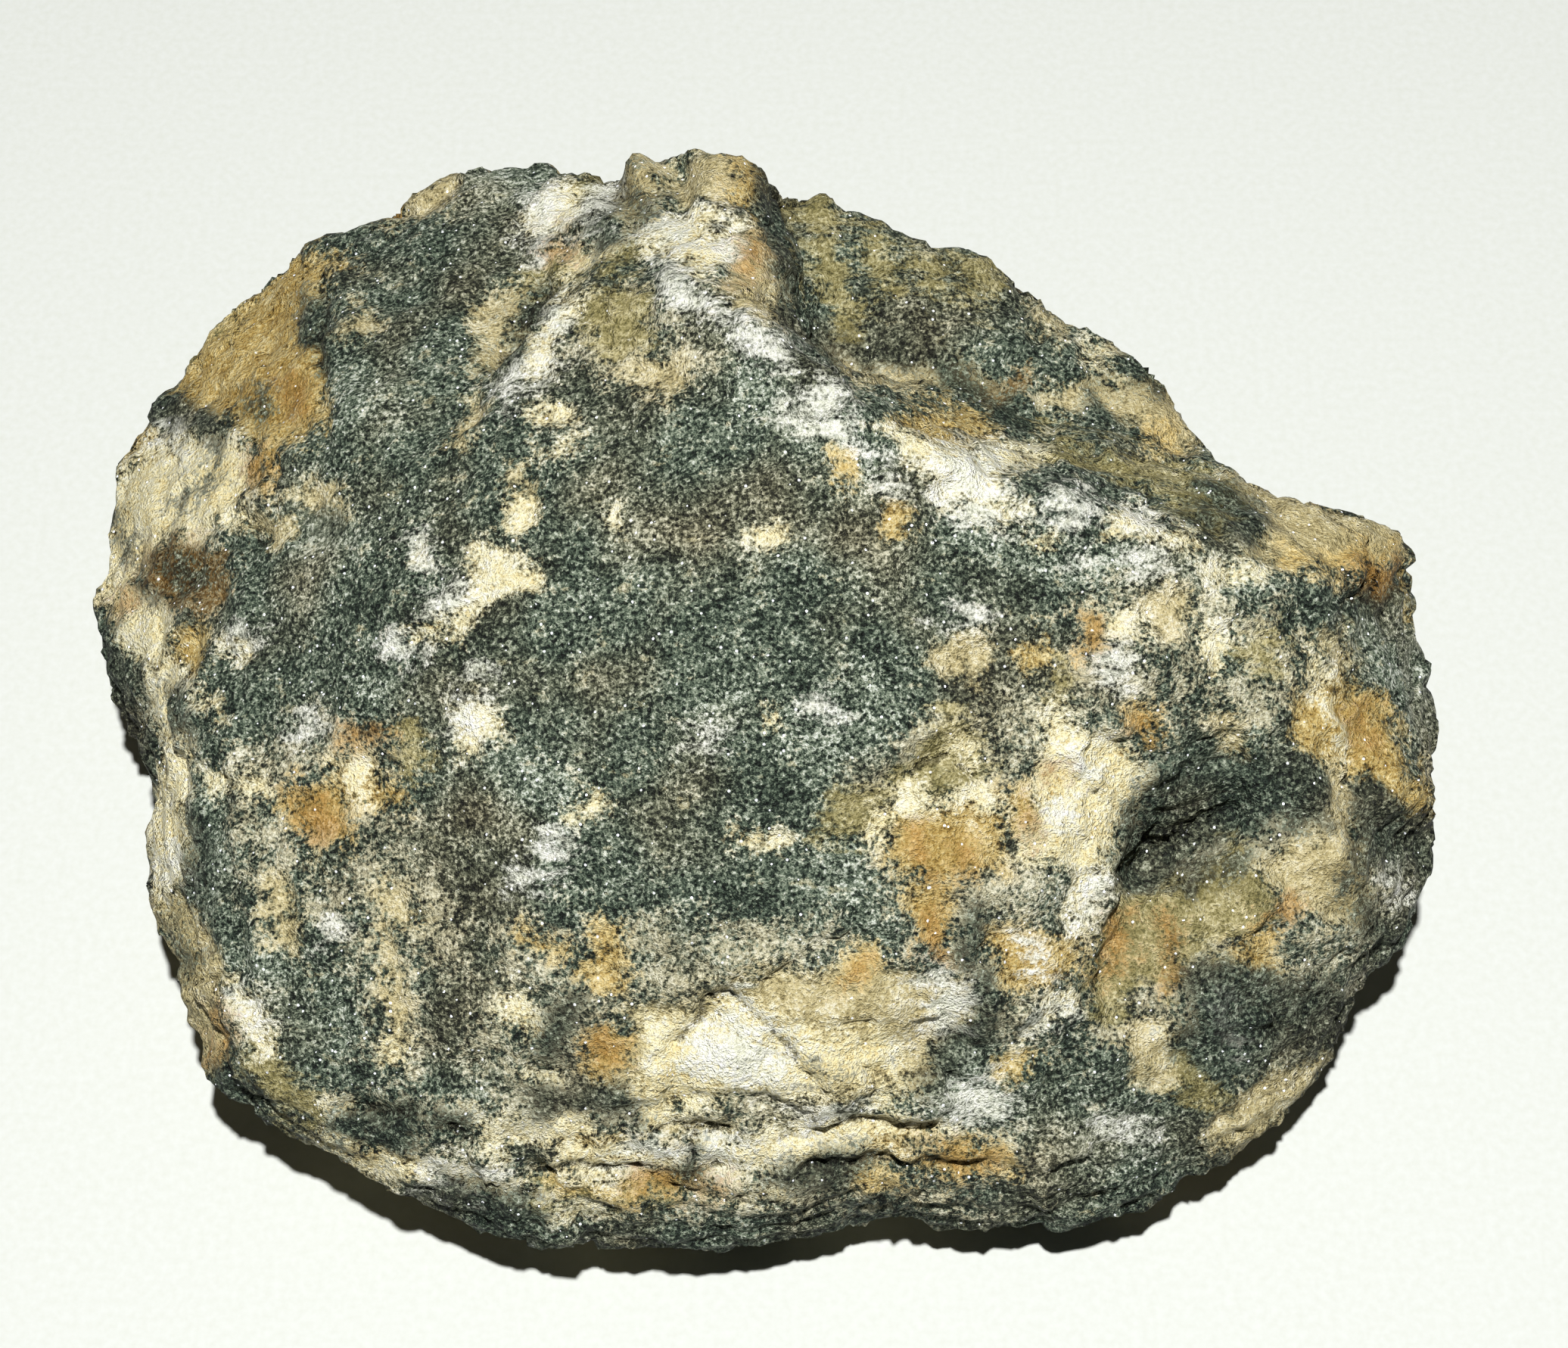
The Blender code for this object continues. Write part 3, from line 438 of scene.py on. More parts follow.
        [(-18, -38), (-14, -37.2), (-9, -37.6), (-8, -39.5), (-13, -40), (-18, -39.6)],
        [(-2, -36.4), (3, -35), (9, -34.6), (13, -35.6), (10, -37), (4, -38), (-1, -39)],
        [(-7.5, -36.3), (-5, -36.7), (-1, -36), (2.4, -35.4), (3.6, -36.6), (0, -38.2), (-3.6, -39.6),
         (-5, -40.2), (-6.9, -40)],
        [(6, -33), (9.8, -32.6), (9, -35), (7, -34.6)],
        [(-19.4, -42), (-15, -42), (-13.6, -43), (-17, -43.8)],
        [(-37, -36), (-33, -38.4), (-30, -38.4), (-24, -39.4), (-20, -40), (-21.6, -41), (-26, -40.6),
         (-33, -39.8), (-36.4, -37.8)],
        [(-43.5, -24), (-42, -25), (-41.2, -28.6), (-40.2, -30), (-41.6, -30.2), (-43.6, -27)],
        [(33.6, 3.4), (35.4, 4), (36.4, 2), (35.2, 0.2), (34, 0.6)],
        [(20.6, -24.8), (23.2, -25), (22, -27.6), (19.4, -29)],
        [(24, 4.8), (28, 4.4), (27.6, 2.8), (25.4, 2.4)],
        [(-1.7, -2.8), (-0.8, -3), (-0.8, -4.5), (-1.7, -4.9)],
        [(-31.4, -28.6), (-30, -28.6), (-29.7, -31.2), (-31.2, -31.2)],
        [(-20.2, 27), (-18, 27.2), (-18.6, 23.6), (-20.4, 23.4)],
        [(36.6, 8.6), (38.6, 8.2), (36, 6.6), (34, 7), (33.4, 8.4)],
        [(-20.6, 35.4), (-18, 38.6), (-16, 38), (-15.6, 36), (-18, 34.4)],
        [(-18.4, 34), (-15.6, 34.6), (-12.4, 34), (-13.4, 32.8), (-17.4, 31.8)],
    ],
    "white": [
        [(-49.2, 19.4), (-47.6, 19.8), (-47.4, 19), (-48.8, 18.7)],
        [(-26, -1.9), (-24.6, -1.4), (-24, -3.4), (-24.6, -4.7), (-26, -4.6)],
        [(-10, 32.6), (-8.6, 32.2), (-7, 31.1), (-5.4, 29.8), (-6.6, 28.5), (-8, 28.8), (-9.8, 30)],
        [(-4.8, 29.6), (-3, 28.5), (-1.4, 27.1), (0.6, 25.5), (-2, 25.6), (-4, 27.4)],
        [(-10, 36.4), (-7.4, 35.4), (-7, 33.6), (-9, 33.6), (-11.4, 34.4)],
        [(-5, 35), (-3.6, 35.4), (-3.4, 34), (-4.6, 33.2), (-5.6, 34)],
        [(1.4, 22.9), (3.4, 22.9), (4.8, 21.8), (4.8, 20.5), (3.2, 21), (1.8, 21.8)],
        [(11, 17.6), (15, 17.6), (18, 17.4), (16.6, 15), (17, 13.4), (19.6, 12.4), (17, 12), (13, 14.4),
         (10.6, 16.4)],
        [(21, 13.9), (23.4, 13.9), (24.6, 12.6), (22.4, 12.1)],
        [(27, 12.5), (28.4, 12.7), (29.8, 11.4), (28, 11.5)],
        [(27.2, 9.5), (29.2, 9.5), (29.6, 8), (28.4, 7)],
        [(25, 1.4), (26.4, 2), (27.3, 0.8), (26.8, -0.7), (25.3, 0)],
        [(22.6, -6.6), (24, -6.4), (24.8, -8), (23.6, -9), (22.8, -8.4)],
        [(20, -10.4), (22, -10.2), (22.6, -11.6), (20.4, -12)],
        [(23, -17.6), (24, -16), (24.8, -17), (24.5, -19), (23.4, -20)],
        [(11, -23.6), (13, -23.4), (14.4, -25), (14.2, -27), (12.6, -28.6), (11.4, -27)],
        [(-4.6, -26.2), (-2, -28.8), (0.6, -31), (-1, -32.4), (-5, -32), (-8, -31.2), (-7.4, -29.6),
         (-5.6, -27.6)],
        [(-6.8, -37), (-4, -37), (-2.6, -38), (-4.4, -39.4), (-6.4, -39.6)],
        [(-14, -38.2), (-11, -38.6), (-11, -39.2), (-14, -39.2)],
        [(12.4, -33.4), (15, -32.4), (18.4, -33), (18, -35), (14, -35.6)],
        [(1, -35), (4, -34.2), (6.4, -34.4), (3, -36), (0.6, -36.2)],
        [(21, -26), (22.6, -25.2), (22.4, -26.8), (20, -28.8)],
        [(-43.2, -25.8), (-42.2, -25.6), (-41.8, -27.2), (-42.8, -27.4)],
        [(-49.6, -13), (-48, -13), (-47.6, -15.6), (-49.4, -16.6)],
        [(-20, 37), (-18.2, 38), (-17, 37), (-17.8, 35.4), (-19.6, 35.4)],
    ],
    "rust": [
        [(-38.8, -10), (-37.4, -9.4), (-36, -10.4), (-35.4, -11.6), (-36.4, -13.6), (-37.8, -13)],
        [(45.4, 9), (47.4, 9.3), (48.6, 8.6), (48, 6.4), (46.2, 5.9), (45, 6.4)],
        [(-50.3, 9), (-49, 10.3), (-46, 10.6), (-44.5, 9), (-44.8, 7), (-46.2, 5.7), (-48.5, 6),
         (-51, 7)],
        [(-3.5, 34), (-1.6, 34.6), (-1.2, 33), (-2.6, 31.2), (-3.4, 32)],
        [(-40.4, 23), (-38, 23), (-38.2, 20.4), (-40.2, 20.6)],
        [(30, -20), (31.2, -20.4), (31.2, -24), (30, -25)],
        [(25.4, -19), (27.4, -19.4), (27, -23.4), (25, -24)],
    ],
    "dark": [
        [(-51.4, 20.2), (-49.8, 22.2), (-48.3, 22.8), (-47.2, 22), (-46.6, 20.9), (-44.8, 20.4),
         (-45.2, 18.8), (-48.6, 20)],
        # Dark rock with painted shade: the lower ledge under the cream band's step, on the left
        [(-55, 4.4), (-53.6, 4.2), (-52.6, 1), (-51.8, -2), (-51, -5), (-50.4, -8.4), (-51.6, -9),
         (-53.4, -4), (-55, 0)],
        [(-50, 8.6), (-48.6, 9.8), (-46.2, 9.8), (-45, 8.4), (-46.4, 6.4), (-48.8, 6.6)],
        [(28.6, -9), (31, -8.2), (35.6, -7), (41, -7.2), (42.8, -9.6), (43.4, -12.2), (41, -12),
         (39, -11.4), (35, -12.8), (33, -14.4), (31, -15.8), (28.6, -17.4), (27, -17), (25.7, -15.6),
         (27, -12)],
        [(31, -23), (33, -22.6), (36, -23.2), (40, -24.6), (43, -24.4), (44.6, -26.4), (44.2, -29.4),
         (38, -29.6), (35, -30.6), (32, -31), (31.4, -28), (33, -26.4)],
        [(-20, -32.3), (-17, -32.5), (-14, -32.4), (-12.2, -33.6), (-11, -34.9), (-17, -34.7),
         (-20.2, -34.8)],
        [(-36.4, -36), (-35, -34.4), (-32, -34.9), (-29, -34.6), (-29, -36.4), (-31, -38), (-34, -38)],
        # Painted shade: this area darkens the hollow under the ochre lump on the right
        [(45.2, -11), (46, -9.6), (47.4, -9.8), (49, -11.4), (50.8, -11.4), (52.2, -13), (51, -15.4),
         (47.4, -14.4), (45.8, -16)],
        [(34, 15.2), (36, 14.6), (38.6, 12), (37.6, 10.6), (35, 11.8), (32, 12.8)],
        [(-1, -39), (2, -38.4), (7, -38.2), (5, -40.2), (-2, -40.8)],
        [(-27, -40.8), (-22, -41.4), (-19, -42.6), (-19.4, -43.6), (-23, -43), (-27, -42)],
        [(-2, 39.7), (0, 38.3), (0.7, 36), (0.3, 31), (-0.3, 31), (-0.8, 36), (-2.2, 38.2)],
        [(-15.4, 35.5), (-13, 35.1), (-12.8, 33.8), (-14.6, 33.4), (-15.7, 34.6)],
        [(-43, 22), (-41, 22.2), (-41, 20), (-42.4, 20.4)],
    ],
}
outlined = sum(len(outlines) for outlines in AREAS.values())
print(outlined, "areas of", len(AREAS), "kinds")

# %% [markdown]
# Streaks and spots are strokes: a half width in mm and the seen places that the stroke runs
# through. One place alone makes a round spot.

# %% Streaks, by kind
STREAKS = {
    "haze_and_painted_light": [
        (1.6, (-2, 12), (3, 9), (8, 8.6)), (1.2, (0, -5), (4, -6)),
        (1.2, (-34.4, -26.2), (-33.6, -26.4)), (1.2, (-7, -5), (-5, -3)), (1.4, (6, -1), (8, -4)),
        (1.5, (-20, -8), (-17, -10)), (1.0, (17, -1), (19, -5)), (1.3, (36, 1), (37.4, -4)),
        (1.2, (31.8, 8), (36, 7)), (1.2, (-11.6, 13), (-9.8, 11)), (1.0, (-22, -12), (-20.4, -10)),
    ],
    "olive": [
        (0.7, (22, 0.2), (21.4, -1.4)), (0.8, (34.6, 12.6), (31, 13.8)), (1.2, (3, 33), (4.6, 28)),
        (0.9, (7, 35), (7.4, 31)), (0.7, (-18, 37), (-15, 38.8)), (1.1, (31, -31), (34, -33.4)),
        (0.9, (-20, 31.6), (-16, 32.6), (-11, 33.4)),
    ],
    "tan": [
        (0.8, (-40.4, -17), (-39.4, -21)), (0.8, (-42.4, 12), (-40.6, 11.2)),
        (0.6, (26.2, 25.8), (28.2, 25.8)), (0.8, (20.6, 28.2), (22, 27.2)),
        (0.7, (-20.4, 12.6), (-21, 15.6)), (0.6, (-4.6, -36), (-10, -36)), (0.8, (14, 24), (17, 22.6)),
        (0.55, (-31.4, -20), (-30.8, -24), (-30.4, -29)), (0.35, (-3, -30.4), (-1, -31.4)),
        (0.7, (34.6, -3), (36.6, -6)), (0.8, (43.4, 3), (44.4, 1)), (0.6, (-24.2, 21), (-25.6, 18)),
        (0.7, (4, 17), (4.6, 15.6)),
    ],
    "ochre": [
        (0.7, (-53.6, 7), (-52.4, 5.6)), (0.5, (-33.6, -38.6), (-30, -39.2)),
        (0.6, (-17, -37.2), (-9, -37.8)), (0.5, (-20, -21), (-17.4, -21.6)),
        (0.7, (28, -3), (29.4, -4.4)), (0.6, (31, 19), (29, 18.8)), (0.5, (49.6, 7.8), (49.8, 4.6)),
        (0.6, (-18, -40.4), (-8, -40.6)), (0.6, (9.6, 12.2), (9, 13.4)),
        (0.5, (4.2, 16.4), (4.6, 15.6)), (0.5, (21.6, -8.2), (22, -8.6)),
    ],
    "cream": [
        (0.5, (-28.6, 2.7), (-26.6, 3.6), (-25, 4.8)), (0.5, (-3.8, -12.8), (-2.4, -13.2), (-0.4, -13)),
        (0.4, (-21, 11.6), (-20.8, 14)), (0.6, (13.6, -4.8), (15, -6.8)), (0.5, (44, -2), (44.2, -6)),
        (0.7, (-17, 29.6), (-18.6, 27.4)), (0.5, (10, -32.6), (8, -31)), (0.6, (-1.4, 10.6), (0, 10.4)),
        (0.5, (-13, 12.6), (-12.4, 11.4)), (0.5, (24, 25.2), (25.4, 25.2)),
        (0.4, (19, 10.6), (21, 10.8)), (0.5, (-28.6, 10.4), (-28.4, 9.2)),
        (0.4, (-36.4, -34.4), (-35, -34)), (0.5, (-42.6, 1.8), (-44, 2.6)),
        (0.4, (-36.8, -15), (-37, -12.4)), (0.4, (-20, -31), (-18.2, -31.8)),
        (0.5, (32.6, 10.4), (30.6, 11)), (0.7, (-24.6, -34.6), (-22.6, -38)),
        (0.4, (-7, -41), (0, -41.2)), (0.5, (-46.6, -1.6), (-45, -3.4)),
        (0.5, (-16.6, -11), (-14.8, -9.6)), (0.6, (31, -28.6), (32.6, -28)),
        (0.5, (42, 1.4), (42.6, -1)),
    ],
    "white": [
        (0.45, (0.2, 21.4), (2, 20), (4, 19.2), (5.4, 17.8)),
        (0.5, (5.6, 17.4), (7, 16.2), (8.6, 14.6)), (0.3, (-21.7, 21.8), (-21.1, 24.4)),
        (0.7, (-30.4, 2.2), (-29.6, 1.8)), (0.5, (-27, 5.2), (-25.4, 6.2)),
        (0.2, (-25.2, 0.6), (-24.2, -0.4), (-23.6, -1.4)), (0.7, (-18.6, -13.4), (-17.8, -13)),
        (0.6, (-20.9, -16), (-20.2, -16.1)), (0.4, (-35.9, -20.4), (-35.8, -21)),
        (0.4, (-37.6, -4), (-38.6, -4.8)), (0.5, (-18.8, 25.6), (-19.2, 23.6)),
        (0.5, (-17.6, 29), (-18.2, 27.8)), (0.4, (19.6, -21), (20.4, -23.4)),
        (0.3, (-3.4, -25.6), (0, -29.2)), (0.4, (-23, -39.6), (-28, -39.9)),
        (0.3, (22.6, 9.4), (24.4, 9)), (0.4, (-11.6, -37), (-8.6, -37.4)),
        (0.5, (-28.8, 10.2), (-28.4, 9.4)), (0.3, (13, 4.6), (15, 4.2)), (0.4, (3, -3), (5, -3.4)),
        (0.3, (-43.6, 2.8), (-42, 2.9)), (0.5, (-15.9, 36), (-13.6, 38.8)),
        (0.4, (-7, -4.8), (-5.6, -5.6)), (0.4, (34.4, -26.4), (35.6, -28.8)),
        (0.5, (48, -16), (49, -17)), (0.4, (25, -36), (28, -36.6)), (0.3, (-20, 33.8), (-19.4, 35)),
        (0.4, (12, 15), (15, 13.6)), (0.4, (16.6, -32), (16.2, -34.6)),
    ],
    "rust": [
        (0.5, (-34, -4.8), (-32.4, -4.8)), (0.6, (11, -13), (11.6, -15.4)),
        (0.5, (14.6, -13.4), (15, -15.4)), (0.4, (21.4, -8.2), (22, -8.4)), (0.5, (5, -24), (6.4, -23)),
        (0.5, (37.8, -19), (40.6, -18.6)), (0.5, (28, -3.8), (29.2, -4.4)),
        (0.6, (-14.8, -29.4), (-13.8, -30.4)), (0.5, (-18.6, 33.4), (-17.4, 34)),
        (0.5, (24, 3.6), (24.4, 1.8)), (0.5, (-42.4, 16.2), (-41.4, 17)), (0.5, (12, -22), (11.6, -19)),
        (0.4, (-11.4, -40.4), (-5, -40.6)), (0.5, (19, -11), (19.4, -13)),
        (0.5, (45.6, -3.4), (46.6, -5.6)), (0.4, (-50.8, 9.6), (-52.4, 5.4)),
        (0.5, (-44.6, -27), (-45.4, -30.4)), (0.4, (12, -38.2), (16, -38.8)),
        (0.5, (18.6, 22.6), (16, 22)),
    ],
    "dark": [
        (0.5, (-45.4, 18), (-45.2, 16), (-46.4, 15), (-48, 13)),
        (0.35, (-50.6, 6.9), (-51.8, 10), (-53, 12.8)), (0.6, (-36.5, 11.6)),
        (0.5, (14.4, -22), (15.4, -20)),
        (0.6, (15.7, -24), (15.9, -26.4), (14.4, -28.4), (12.6, -30.6), (11, -32.2)),
        (0.5, (-48.5, -19.4), (-48.2, -23)), (0.7, (45, -16.4), (46.6, -20), (47.6, -22)),
        (0.8, (-12.2, 38.2), (-11, 37)), (0.5, (-37.8, 30), (-37.6, 27), (-36.4, 24.6)),
        # The second stroke below is painted shade, along the trough behind the crest
        (0.5, (-19.4, 30), (-20.6, 27.4), (-22.4, 25)), (1.0, (5, 26.6), (12, 24.4), (18, 21.4)),
        (0.5, (-27, -36), (-25, -35.6)), (0.9, (32, -17), (36, -15)), (0.5, (24.6, 22.6), (25.4, 20.6)),
        (0.4, (-47.6, -4.8), (-48.6, -1.8)), (0.6, (45, 5.4), (48, 6)), (0.5, (-46.4, -12), (-46, -18)),
        (0.5, (1, 27.4), (4, 25)), (0.6, (-44.6, -31.6), (-42.4, -33.4)),
        (1.0, (-16.6, -26), (-18.6, -28.6)), (0.5, (-7.4, -38), (-7.7, -40)),
        (0.7, (30, 22.4), (28.6, 24.6)), (0.5, (2.2, -31.2), (3.8, -31)),
    ],
}
struck = sum(len(strokes) for strokes in STREAKS.values())
print(struck, "streaks and spots")

# %% [markdown]
# Each point of the skin keeps one number a kind: one half at a patch's edge, more inside and less
# outside, evenly across the edge. Real edges wander, so the seen places are first pushed about by
# noise. The material later adds finer noise to the number.

# %% How deep each point lies in each kind
EDGE_SPREAD = 6.0
DUST_MOST = 0.50
# The large dark face in the middle, which is flatter than the rest
PLATE = [
    (-38, 30), (-24, 30), (-18, 22), (4, 12), (20, 4), (20, -4), (4, -18), (-12, -22), (-28, -30),
    (-42, -20), (-44, 8),
]
WANDER = [(5.0, 1.0, 30), (1.7, 0.8, 32)]
wandering = seen_at.copy()
for size, reach, seed in WANDER:
    wandering += reach * np.stack([noise_field(size, seed), noise_field(size, seed + 1)], axis=1)


def depth_in_area(outline):
    """How deep each point is seen inside an outline, in mm; outside it the number is negative."""
    away, _ = to_line(wandering, outline + outline[:1])
    inside = np.zeros(len(wandering), bool)
    across, up = wandering.T
    for (x0, y0), (x1, y1) in zip(outline, outline[1:] + outline[:1]):
        if y0 != y1:
            inside ^= ((y0 > up) != (y1 > up)) & (across < x0 + (x1 - x0) * (up - y0) / (y1 - y0))
    return np.where(inside, away, -away)


def depth_in_streak(half_width, places_seen):
    """The same for a stroke."""
    away, _ = to_line(wandering, places_seen * 2 if len(places_seen) == 1 else places_seen)
    return half_width - away


stains = {}
for kind in AREAS:
    depths = [depth_in_area(outline) for outline in AREAS[kind]]
    depths += [depth_in_streak(half_width, line) for half_width, *line in STREAKS.get(kind, [])]
    stains[kind] = np.clip(0.5 + np.max(depths, axis=0) / EDGE_SPREAD, 0, 1)
stains["dust"] = np.minimum(stains["dust"], DUST_MOST)
calm = np.clip(0.5 + depth_in_area(PLATE) / EDGE_SPREAD, 0, 1)
print({kind: round(float((value > 0.5).mean()), 3) for kind, value in stains.items()})

# %% [markdown]
# All the relief is added up and each point is pushed out along its own normal. Weathered patches
# lie a little lower than the dark skin around them, and cream ones are smoother. The relief fades
# out in the lowest millimetre, so that the stone still rests on its flat spot.

# %% Push the relief out
SUNK = 0.30
DENTS_OUT = 0.34
SMALL_DENTS_OUT = 0.30
CRUMBS_OUT = 0.22
RIDGES_OUT = 0.22
CALMED = 0.6
FADES_BELOW = 1.0
weathered = np.max([stains["ochre"], stains["cream"], stains["tan"]], axis=0)
sunk = -SUNK * front * np.clip(0.5 + 8 * (weathered - 0.5), 0, 1)
roughness = 1 - 0.4 * front * np.clip(4 * (stains["cream"] - 0.5), 0, 1)
finest = SMALL_DENTS_OUT * small_dents + CRUMBS_OUT * crumbs
relief = DENTS_OUT * dents + roughness * finest + RIDGES_OUT * ridges
relief += ledges + sunk + front * (grooves + lifts) + (1 - CALMED * calm) * flakes
relief *= np.clip(height / FADES_BELOW, 0, 1)
for vert, out in zip(bm.verts, relief):
    vert.co += vert.normal * float(out) * MM
bm.normal_update()
for face in bm.faces:
    face.smooth = True
bm.to_mesh(stone.data)
bm.free()
print("relief from", round(float(relief.min()), 2), "to", round(float(relief.max()), 2), "mm")

# %% [markdown]
# The hidden sides get the same kinds of patches, but from noise, since nobody has seen them. The
# value named front blends from the placed patches to these ones across the edge of the stone.

# %% Patches on the hidden sides, and hand both to the mesh
HIDDEN_EDGE = 1.3
HIDDEN_SEED = 20
# For each kind: the size of its patches in mm, and how high the noise must be for one
HIDDEN_SHARE = {
    "dust": (8.0, 0.25), "haze_and_painted_light": (9.0, 0.12), "olive": (10.0, 0.24), "tan": (8.0, 0.30),
    "ochre": (9.0, 0.26), "cream": (8.0, 0.34), "white": (5.0, 0.45), "rust": (4.0, 0.45),
    "dark": (7.0, 0.28),
}


def keep_on_mesh(name, values):
    """Keeps one value a point on the stone's mesh, under a name."""
    kept = stone.data.attributes.new(name, "FLOAT", "POINT")
    kept.data.foreach_set("value", values.astype(np.float32))


for number, (kind, (size, threshold)) in enumerate(HIDDEN_SHARE.items()):
    unseen = np.clip(0.5 + HIDDEN_EDGE * (noise_field(size, HIDDEN_SEED + number) - threshold), 0, 1)
    keep_on_mesh(kind, front * stains[kind] + (1 - front) * unseen)
extras = {"layering": tilted / LAYER, "steep": steep, "to_crack": to_crack + 2 * (1 - front)}
for name, values in extras.items():
    keep_on_mesh(name, values)
print("values on the mesh:", list(stains) + list(extras))

# %% [markdown]
# Materials are networks of small nodes. These helpers keep the network short to write: one adds a
# node with its settings, and the others do arithmetic, blend colours and start a node group.


# %% Node helpers
def add_node(tree, kind, inputs=None, **settings):
    """A new node; inputs are sockets to link or plain values, by name or number."""
    node = tree.nodes.new(kind)
    for name, value in settings.items():
        setattr(node, name, value)
    for name, value in (inputs or {}).items():
        if isinstance(value, bpy.types.NodeSocket):
            tree.links.new(value, node.inputs[name])
        else:
            node.inputs[name].default_value = value
    return node


def calculate(tree, operation, first, second=0.0, third=0.0, clamp=False):
    """One step of arithmetic on masks and values."""
    inputs = {0: first, 1: second, 2: third}
    return add_node(tree, "ShaderNodeMath", inputs, operation=operation, use_clamp=clamp).outputs[0]


def add_up(tree, total, *parts, clamp=False):
    """A total plus other values, each times its weight; clamp keeps the last sum from 0 to 1."""
    for number, (value, weight) in enumerate(parts, 1):
        last = clamp and number == len(parts)
        total = calculate(tree, "MULTIPLY_ADD", value, weight, total, clamp=last)
    return total


def blend_colours(tree, share, first, second):
    """A colour between two, by a share from 0 to 1."""
    node = tree.nodes.new("ShaderNodeMix")
    node.data_type = "RGBA"
    for socket, value in zip((node.inputs[0], node.inputs[6], node.inputs[7]), (share, first, second)):
        if isinstance(value, bpy.types.NodeSocket):
            tree.links.new(value, socket)
        else:
            socket.default_value = value
    return node.outputs[2]


def new_group(name, inputs, outputs):
    """A shader node group with named inputs and outputs: its tree, and its two end nodes."""
    group = bpy.data.node_groups.new(name, "ShaderNodeTree")
    for title, kind, value in inputs:
        socket = group.interface.new_socket(title, in_out="INPUT", socket_type=kind)
        if value is not None:
            socket.default_value = value
    for title, kind in outputs:
        group.interface.new_socket(title, in_out="OUTPUT", socket_type=kind)
    return group, group.nodes.new("NodeGroupInput"), group.nodes.new("NodeGroupOutput")


FLOAT, VECTOR = "NodeSocketFloat", "NodeSocketVector"

# %% [markdown]
# Grain. The rock is a mass of small crystals, each dark, middling or pale. A Voronoi texture splits
# space into cells of their size, and gives each a random colour. The group puts out two random
# values a crystal, and a mask of the rare ones that get a painted glint, a near-white colour that
# stands in for the lamp's reflection.

# %% Crystal grain group
# How much of a glint cell, from its middle, gets the painted glint
PAINTED_GLINT_CORE = 0.42
grain, grain_in, grain_out = new_group(
    "crystal grain",
    [("Position", VECTOR, None), ("Crystal size", FLOAT, 0.35), ("Painted glint share", FLOAT, 0.02)],
    [("Random", FLOAT), ("Second random", FLOAT), ("Painted glint", FLOAT)],
)
crystal_size = calculate(grain, "MULTIPLY", grain_in.outputs["Crystal size"], MM)
per_metre = calculate(grain, "DIVIDE", 1.0, crystal_size)
cell_inputs = {"Vector": grain_in.outputs["Position"], "Scale": per_metre}
cells = add_node(grain, "ShaderNodeTexVoronoi", cell_inputs)
split = add_node(grain, "ShaderNodeSeparateColor", {"Color": cells.outputs["Color"]})
threshold = calculate(grain, "SUBTRACT", 1.0, grain_in.outputs["Painted glint share"])
# Painted glint: rare crystals get a near-white colour in place of the lamp's reflection
painted_glint = calculate(grain, "GREATER_THAN", split.outputs["Blue"], threshold)
core = calculate(grain, "LESS_THAN", cells.outputs["Distance"], PAINTED_GLINT_CORE)
grain.links.new(split.outputs["Red"], grain_out.inputs["Random"])
grain.links.new(split.outputs["Green"], grain_out.inputs["Second random"])
grain.links.new(calculate(grain, "MULTIPLY", painted_glint, core), grain_out.inputs["Painted glint"])
print("group", grain.name, "has", len(grain.nodes), "nodes")

# %% [markdown]
# Ragged patches. A patch's number crosses one half at its edge. Noise at two sizes is added, and
# the sum goes through a narrow ramp. A wider ramp gives a softer stain, a narrow one a flake's edge.

# %% Ragged patch group
ragged, ragged_in, ragged_out = new_group(
    "ragged patch",
    [
        ("Patch", FLOAT, 0.0), ("Coarse", FLOAT, 0.0), ("Fine", FLOAT, 0.0),
        ("Raggedness", FLOAT, 0.3), ("Softness", FLOAT, 0.06),
    ],
    [("Mask", FLOAT)],
)
unevenness = calculate(ragged, "ADD", ragged_in.outputs["Coarse"], ragged_in.outputs["Fine"])
moved = add_up(ragged, ragged_in.outputs["Patch"], (unevenness, ragged_in.outputs["Raggedness"]))
low = calculate(ragged, "SUBTRACT", 0.5, ragged_in.outputs["Softness"])
high = calculate(ragged, "ADD", 0.5, ragged_in.outputs["Softness"])
ramp_inputs = {"Value": moved, "From Min": low, "From Max": high}
ramp = add_node(ragged, "ShaderNodeMapRange", ramp_inputs, interpolation_type="SMOOTHSTEP")
ragged.links.new(ramp.outputs["Result"], ragged_out.inputs["Mask"])
print("group", ragged.name, "has", len(ragged.nodes), "nodes")

# %% [markdown]
# The stone's colours. Each kind has four tones, from its dark grains to its pale ones. They are
# given as the eye reads them, from 0 to 255, and paint turns them into the share of light that the
# surface sends back. SENT_BACK darkens them all, and the strong lamp below makes up for it.

# %% Colours of the stone
SENT_BACK = 0.6
EYE_CURVE = 2.2


def paint(red, green, blue):
    """A colour as the eye reads it, as the share of the lamplight that it sends back."""
    return (*[SENT_BACK * (part / 255) ** EYE_CURVE for part in (red, green, blue)], 1)


TONES = {
    "dust": [(92, 92, 70), (158, 151, 118), (206, 198, 162), (243, 238, 210)],
    "olive": [(80, 80, 50), (148, 138, 86), (184, 172, 118), (226, 216, 168)],
    "tan": [(122, 111, 74), (192, 176, 124), (222, 207, 156), (246, 238, 204)],
    "ochre": [(108, 80, 30), (190, 156, 82), (220, 192, 120), (246, 227, 168)],
    "cream": [(204, 173, 106), (249, 232, 172), (255, 246, 202), (255, 253, 234)],
    "white": [(178, 180, 154), (241, 243, 220), (253, 253, 238), (255, 255, 250)],
    "rust": [(60, 42, 18), (128, 92, 36), (174, 128, 56), (216, 178, 110)],
}
TONE_PLACES = (0.0, 0.35, 0.65, 1.0)
